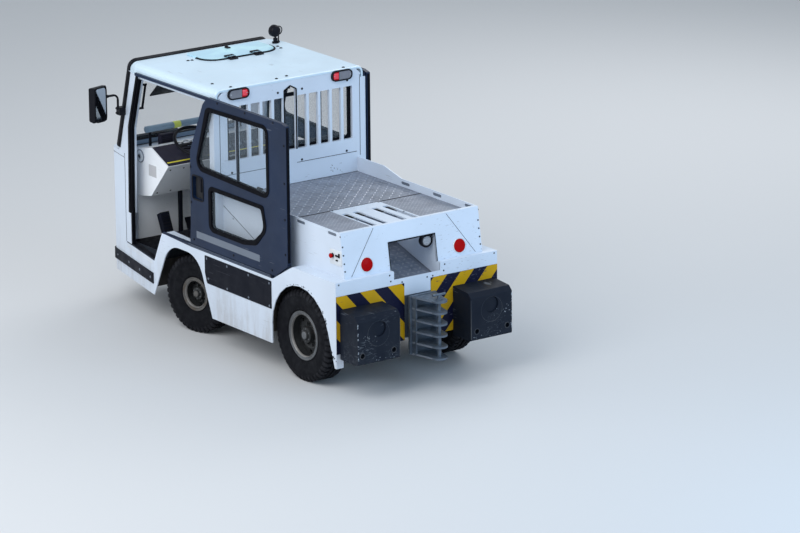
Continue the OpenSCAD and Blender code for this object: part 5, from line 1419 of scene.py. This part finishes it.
def buildDash(spec):
    place, r = spec["socket"], spec["socketRadius"]
    for name, slotName, look, sides, profile in (
            ("socket_ring", "dash_plastic", "label", 40,
             [(r * 0.42, 0.001), (r * 0.45, 0.010), (r * 0.95, 0.008), (r, 0.0015), (r, -0.0005),
              (r * 0.42, -0.0005)]),
            # This grey ring round the socket's rim is painted shadow, not a real flange
            ("socket_shadow_ring", "dash_plastic", "slateLight", 40,
             [(r - 0.001, -0.0005), (r + 0.006, -0.0005), (r + 0.005, 0.004), (r - 0.001, 0.006)]),
            ("socket_middle", "galvanised", "chrome", 32,
             [(r * 0.42, 0.0005), (r * 0.42, 0.012), (r * 0.30, 0.014), (r * 0.26, 0.004)])):
        piece(Shape().turned(profile, place, leftward, sides, True), name, slotName, look=look)
    piece(Shape().turned([(r * 0.27, 0.0045), (0, 0.0045)], place, leftward, 24), "socket_bore",
          "plastic_black")
    a, b = spec["notice"]
    notice = Shape().box((b[0], 0.4998, b[1] - 0.026), (a[0] - 0.006, 0.5010, a[1] + 0.012))
    piece(notice, "dash_notice", "dash_plastic", look="notice")
    # Yellow stripe along the rear edge of the dash top, and screws below it
    stripe = Shape().bar(onSlope(0.040, -0.485, 0.0050), onSlope(0.040, 0.485, 0.0050), 0.0125, 0.0012,
                         slopeUp)
    piece(stripe, "dash_stripe", "hazard_yellow", look="stripe")
    x, z = slopeFoot
    down = Vector((2.230 - x, 0, 0.879 - z)).normalized()
    out = Vector((down.z, 0, -down.x)).normalized()
    places = [((x + down.x * share - out.x * 0.0002, y, z + down.z * share), out)
              for y in spec["screwY"] for share in (0.05, 0.34)]
    bolts("dash_screws", places, 0.005, 0.003, "plastic_black", sides=8)
    gauges, faces = Shape(), Shape()
    for y, radius in spec["gauges"]:
        place = onSlope(0.215, y, 0.005)
        gauges.turned([(radius * 0.80, 0), (radius, 0), (radius, 0.010), (radius * 0.88, 0.012),
                       (radius * 0.80, 0.006)],
                      place, slopeUp, 32, True)
        faces.turned([(radius * 0.82, 0.004), (0, 0.004)], place, slopeUp, 32)
    piece(gauges, "gauge_rings", "galvanised", look="chrome")
    piece(faces, "gauge_faces", "dash_plastic", look="label")
    switches = Shape()
    for k in range(spec["switches"]):
        place = onSlope(0.10, -0.05 - 0.055 * k, 0.0052)
        turn = Matrix.Translation(place) @ Matrix.Rotation(-slopeLean, 4, "Y")
        switches.box((-0.018, -0.011, 0), (0.018, 0.011, 0.009), 0.002, turn)
    piece(switches, "dash_switches", "body_slate", look="slateLight")


def buildCab(spec):
    # Rolled blind behind the windscreen on two posts
    x, z, r, y0, y1 = spec["tube"]
    long = y0 - y1
    roll = [(0, 0), (r - 0.003, 0), (r, 0.003), (r, long - 0.003), (r - 0.003, long), (0, long)]
    piece(Shape().turned(roll, (x, y1, z), leftward, 28), "blind_roll", "dash_plastic", look="tube")
    band = [(r, 0), (r + 0.0012, 0), (r + 0.0012, 0.062), (r, 0.062)]
    piece(Shape().turned(band, (x, 0.087, z), leftward, 28, True), "blind_band", "hazard_yellow",
          look="bandGreen")
    posts = Shape()
    for y in (y1 + 0.04, y0 - 0.04):
        posts.box((x - 0.006, y - 0.010, 1.190), (x + 0.006, y + 0.010, z - 0.020), 0.002)
        posts.box((x - 0.020, y - 0.018, 1.190), (x + 0.020, y + 0.018, 1.194), 0.001)
    piece(posts, "blind_posts", "plastic_black")
    # Sun visor on the driver's side, under the roof's front
    turn = Matrix.Translation(spec["visor"]) @ Matrix.Rotation(math.radians(spec["visorLean"]), 4, "Y")
    shade = Shape().box((-0.004, -0.215, -0.006), (0.350, 0.150, 0.006), 0.004, turn)
    for y in (0.15, 0.34):
        shade.tube([(2.132, y, 1.930), (2.132, y, 1.850)], 0.006, 8)
    piece(shade, "sun_visor", "plastic_black")
    # Mats, pedal ribs, vent slats
    mats, ribs, slats = Shape(), Shape(), Shape()
    for low, high, edge in spec["mats"]:
        mats.box(low, high, edge)
    piece(mats, "cab_mats", "seal_rubber")
    low, high = (Vector((x, 0, z)) for x, z in spec["pedal"])
    along = (high - low).normalized()
    for k in range(spec["pedalRibs"]):
        p = low + along * (0.035 + 0.025 * k)
        ribs.bar((p.x, 0.376, p.z), (p.x, 0.444, p.z), 0.008, 0.004, (-along.z, 0, along.x), 0.001)
    piece(ribs, "pedal_ribs", "plastic_black")
    for k in range(5):
        slats.box((2.4405, 0.150, 1.205 + 0.014 * k), (2.4425, 0.256, 1.211 + 0.014 * k), 0.0006)
    piece(slats, "vent_slats", "plastic_black")
    # Steering wheel: boss cap, and stalks on the column
    x, y = spec["wheel"]
    foot = Vector((x, y, slopeFoot[1] + (x - slopeFoot[0]) * math.tan(slopeLean)))
    cap = Shape().turned([(0.0365, -0.004), (0.036, 0.004), (0.026, 0.010), (0, 0.012)],
                         foot + slopeUp * 0.1385, slopeUp, 32)
    piece(cap, "horn_cap", "body_slate", "steering_wheel", "slateLight")
    stalks = Shape()
    base = foot + slopeUp * 0.070
    for side, reach in ((1, 0.140), (-1, 0.120)):
        steps = ((0, 0.02, 0), (-0.010, 0.075, 0.008), (-0.016, reach, 0.014))
        stalks.tube([base + Vector((dx, side * dy, dz)) for dx, dy, dz in steps], 0.006)
    piece(stalks, "column_stalks", "plastic_black")


buildDash(cabSpec)
buildCab(cabSpec)
print("cab fittings done")


# Seats, swelled as cloth
seatSpec = {
    "y": (0.225, -0.300), "cushion": ((1.246, -0.215, 0.846), (1.700, 0.215, 0.948)),
    "back": ((1.176, -0.205, 0.955), (1.262, 0.205, 1.440)), "backLean": -7.0, "pivot": (1.22, 0, 0.955),
    "corner": 0.028, "voxel": 0.008, "pressure": 3.0, "cap": 0.010, "frames": 16,
}


def softPad(low, high, spec, name):
    mesh = meshOf(Shape().box(low, high, spec["corner"], None, 4))
    pad = bpy.data.objects.new(name, mesh)
    scene.collection.objects.link(pad)
    remesh = pad.modifiers.new("voxels", "REMESH")
    remesh.mode = "VOXEL"
    remesh.voxel_size = spec["voxel"]
    bake(pad)
    rest = [v.co.copy() for v in pad.data.vertices]
    cloth = pad.modifiers.new("cloth", "CLOTH")
    cloth.settings.use_pressure = True
    cloth.settings.uniform_pressure_force = spec["pressure"]
    cloth.settings.effector_weights.gravity = 0
    cloth.settings.quality = 5
    for number in range(1, spec["frames"] + 1):
        scene.frame_set(number)
    bake(pad)
    scene.frame_set(1)
    for vert, start in zip(pad.data.vertices, rest):
        move = vert.co - start
        if move.length > spec["cap"]:
            vert.co = start + move.normalized() * spec["cap"]
    return pad


def bake(thing):
    bpy.context.view_layer.update()
    graph = bpy.context.evaluated_depsgraph_get()
    mesh = bpy.data.meshes.new_from_object(thing.evaluated_get(graph), depsgraph=graph)
    thing.modifiers.clear()
    old = thing.data
    thing.data = mesh
    bpy.data.meshes.remove(old)


# Sewn channels pressed into the faces that look along towards; a seam is an axis, its places and its depth
def press(mesh, towards, seams, width=0.010):
    for axis, places, depth in seams:
        for vert in mesh.vertices:
            if vert.normal.dot(Vector(towards)) > 0.5:
                for place in places:
                    gap = abs(vert.co[axis] - place) / width
                    if gap < 1:
                        vert.co -= Vector(towards) * depth * (math.cos(gap * math.pi) + 1) / 2


def buildSeats(spec):
    cushion = softPad(*spec["cushion"], spec, "cushion")
    press(cushion.data, upward, ((0, (1.36, 1.47, 1.58), 0.006), (1, (-0.145, 0.145), 0.008)))
    back = softPad(*spec["back"], spec, "backrest")
    press(back.data, forward, ((2, (1.10, 1.20, 1.30), 0.006), (1, (-0.135, 0.135), 0.008)))
    pivot = Matrix.Translation(spec["pivot"])
    tilt = pivot @ Matrix.Rotation(math.radians(spec["backLean"]), 4, "Y") @ pivot.inverted()
    for source, turn, name in ((cushion, Matrix.Identity(4), "cushion"), (back, tilt, "backrest")):
        for y, label in zip(spec["y"], ("left", "right")):
            settle(source.data.copy(), "seat_%s_%s" % (name, label), "seat_cover", smooth=60,
                               turn=Matrix.Translation((0, y, 0)) @ turn)
        bpy.data.objects.remove(source)
    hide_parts("seats")
    frames = Shape()
    for y in spec["y"]:
        frames.box((1.235, y - 0.20, 0.8395), (1.690, y + 0.20, 0.850), 0.003)
        for side in (-1, 1):
            near, far = y + side * 0.195, y + side * 0.203
            frames.tube([(1.26, near, 0.845), (1.232, far, 0.90), (1.225, far, 0.98), (1.195, near, 1.15)],
                        0.010, 8)
    piece(frames, "seat_frames", "frame_black")


buildSeats(seatSpec)
print("seats done")


buildCamera(cameraSpec)
buildStudio(lightSpec)
scene.view_settings.view_transform = "Standard"
print("camera and studio ready")
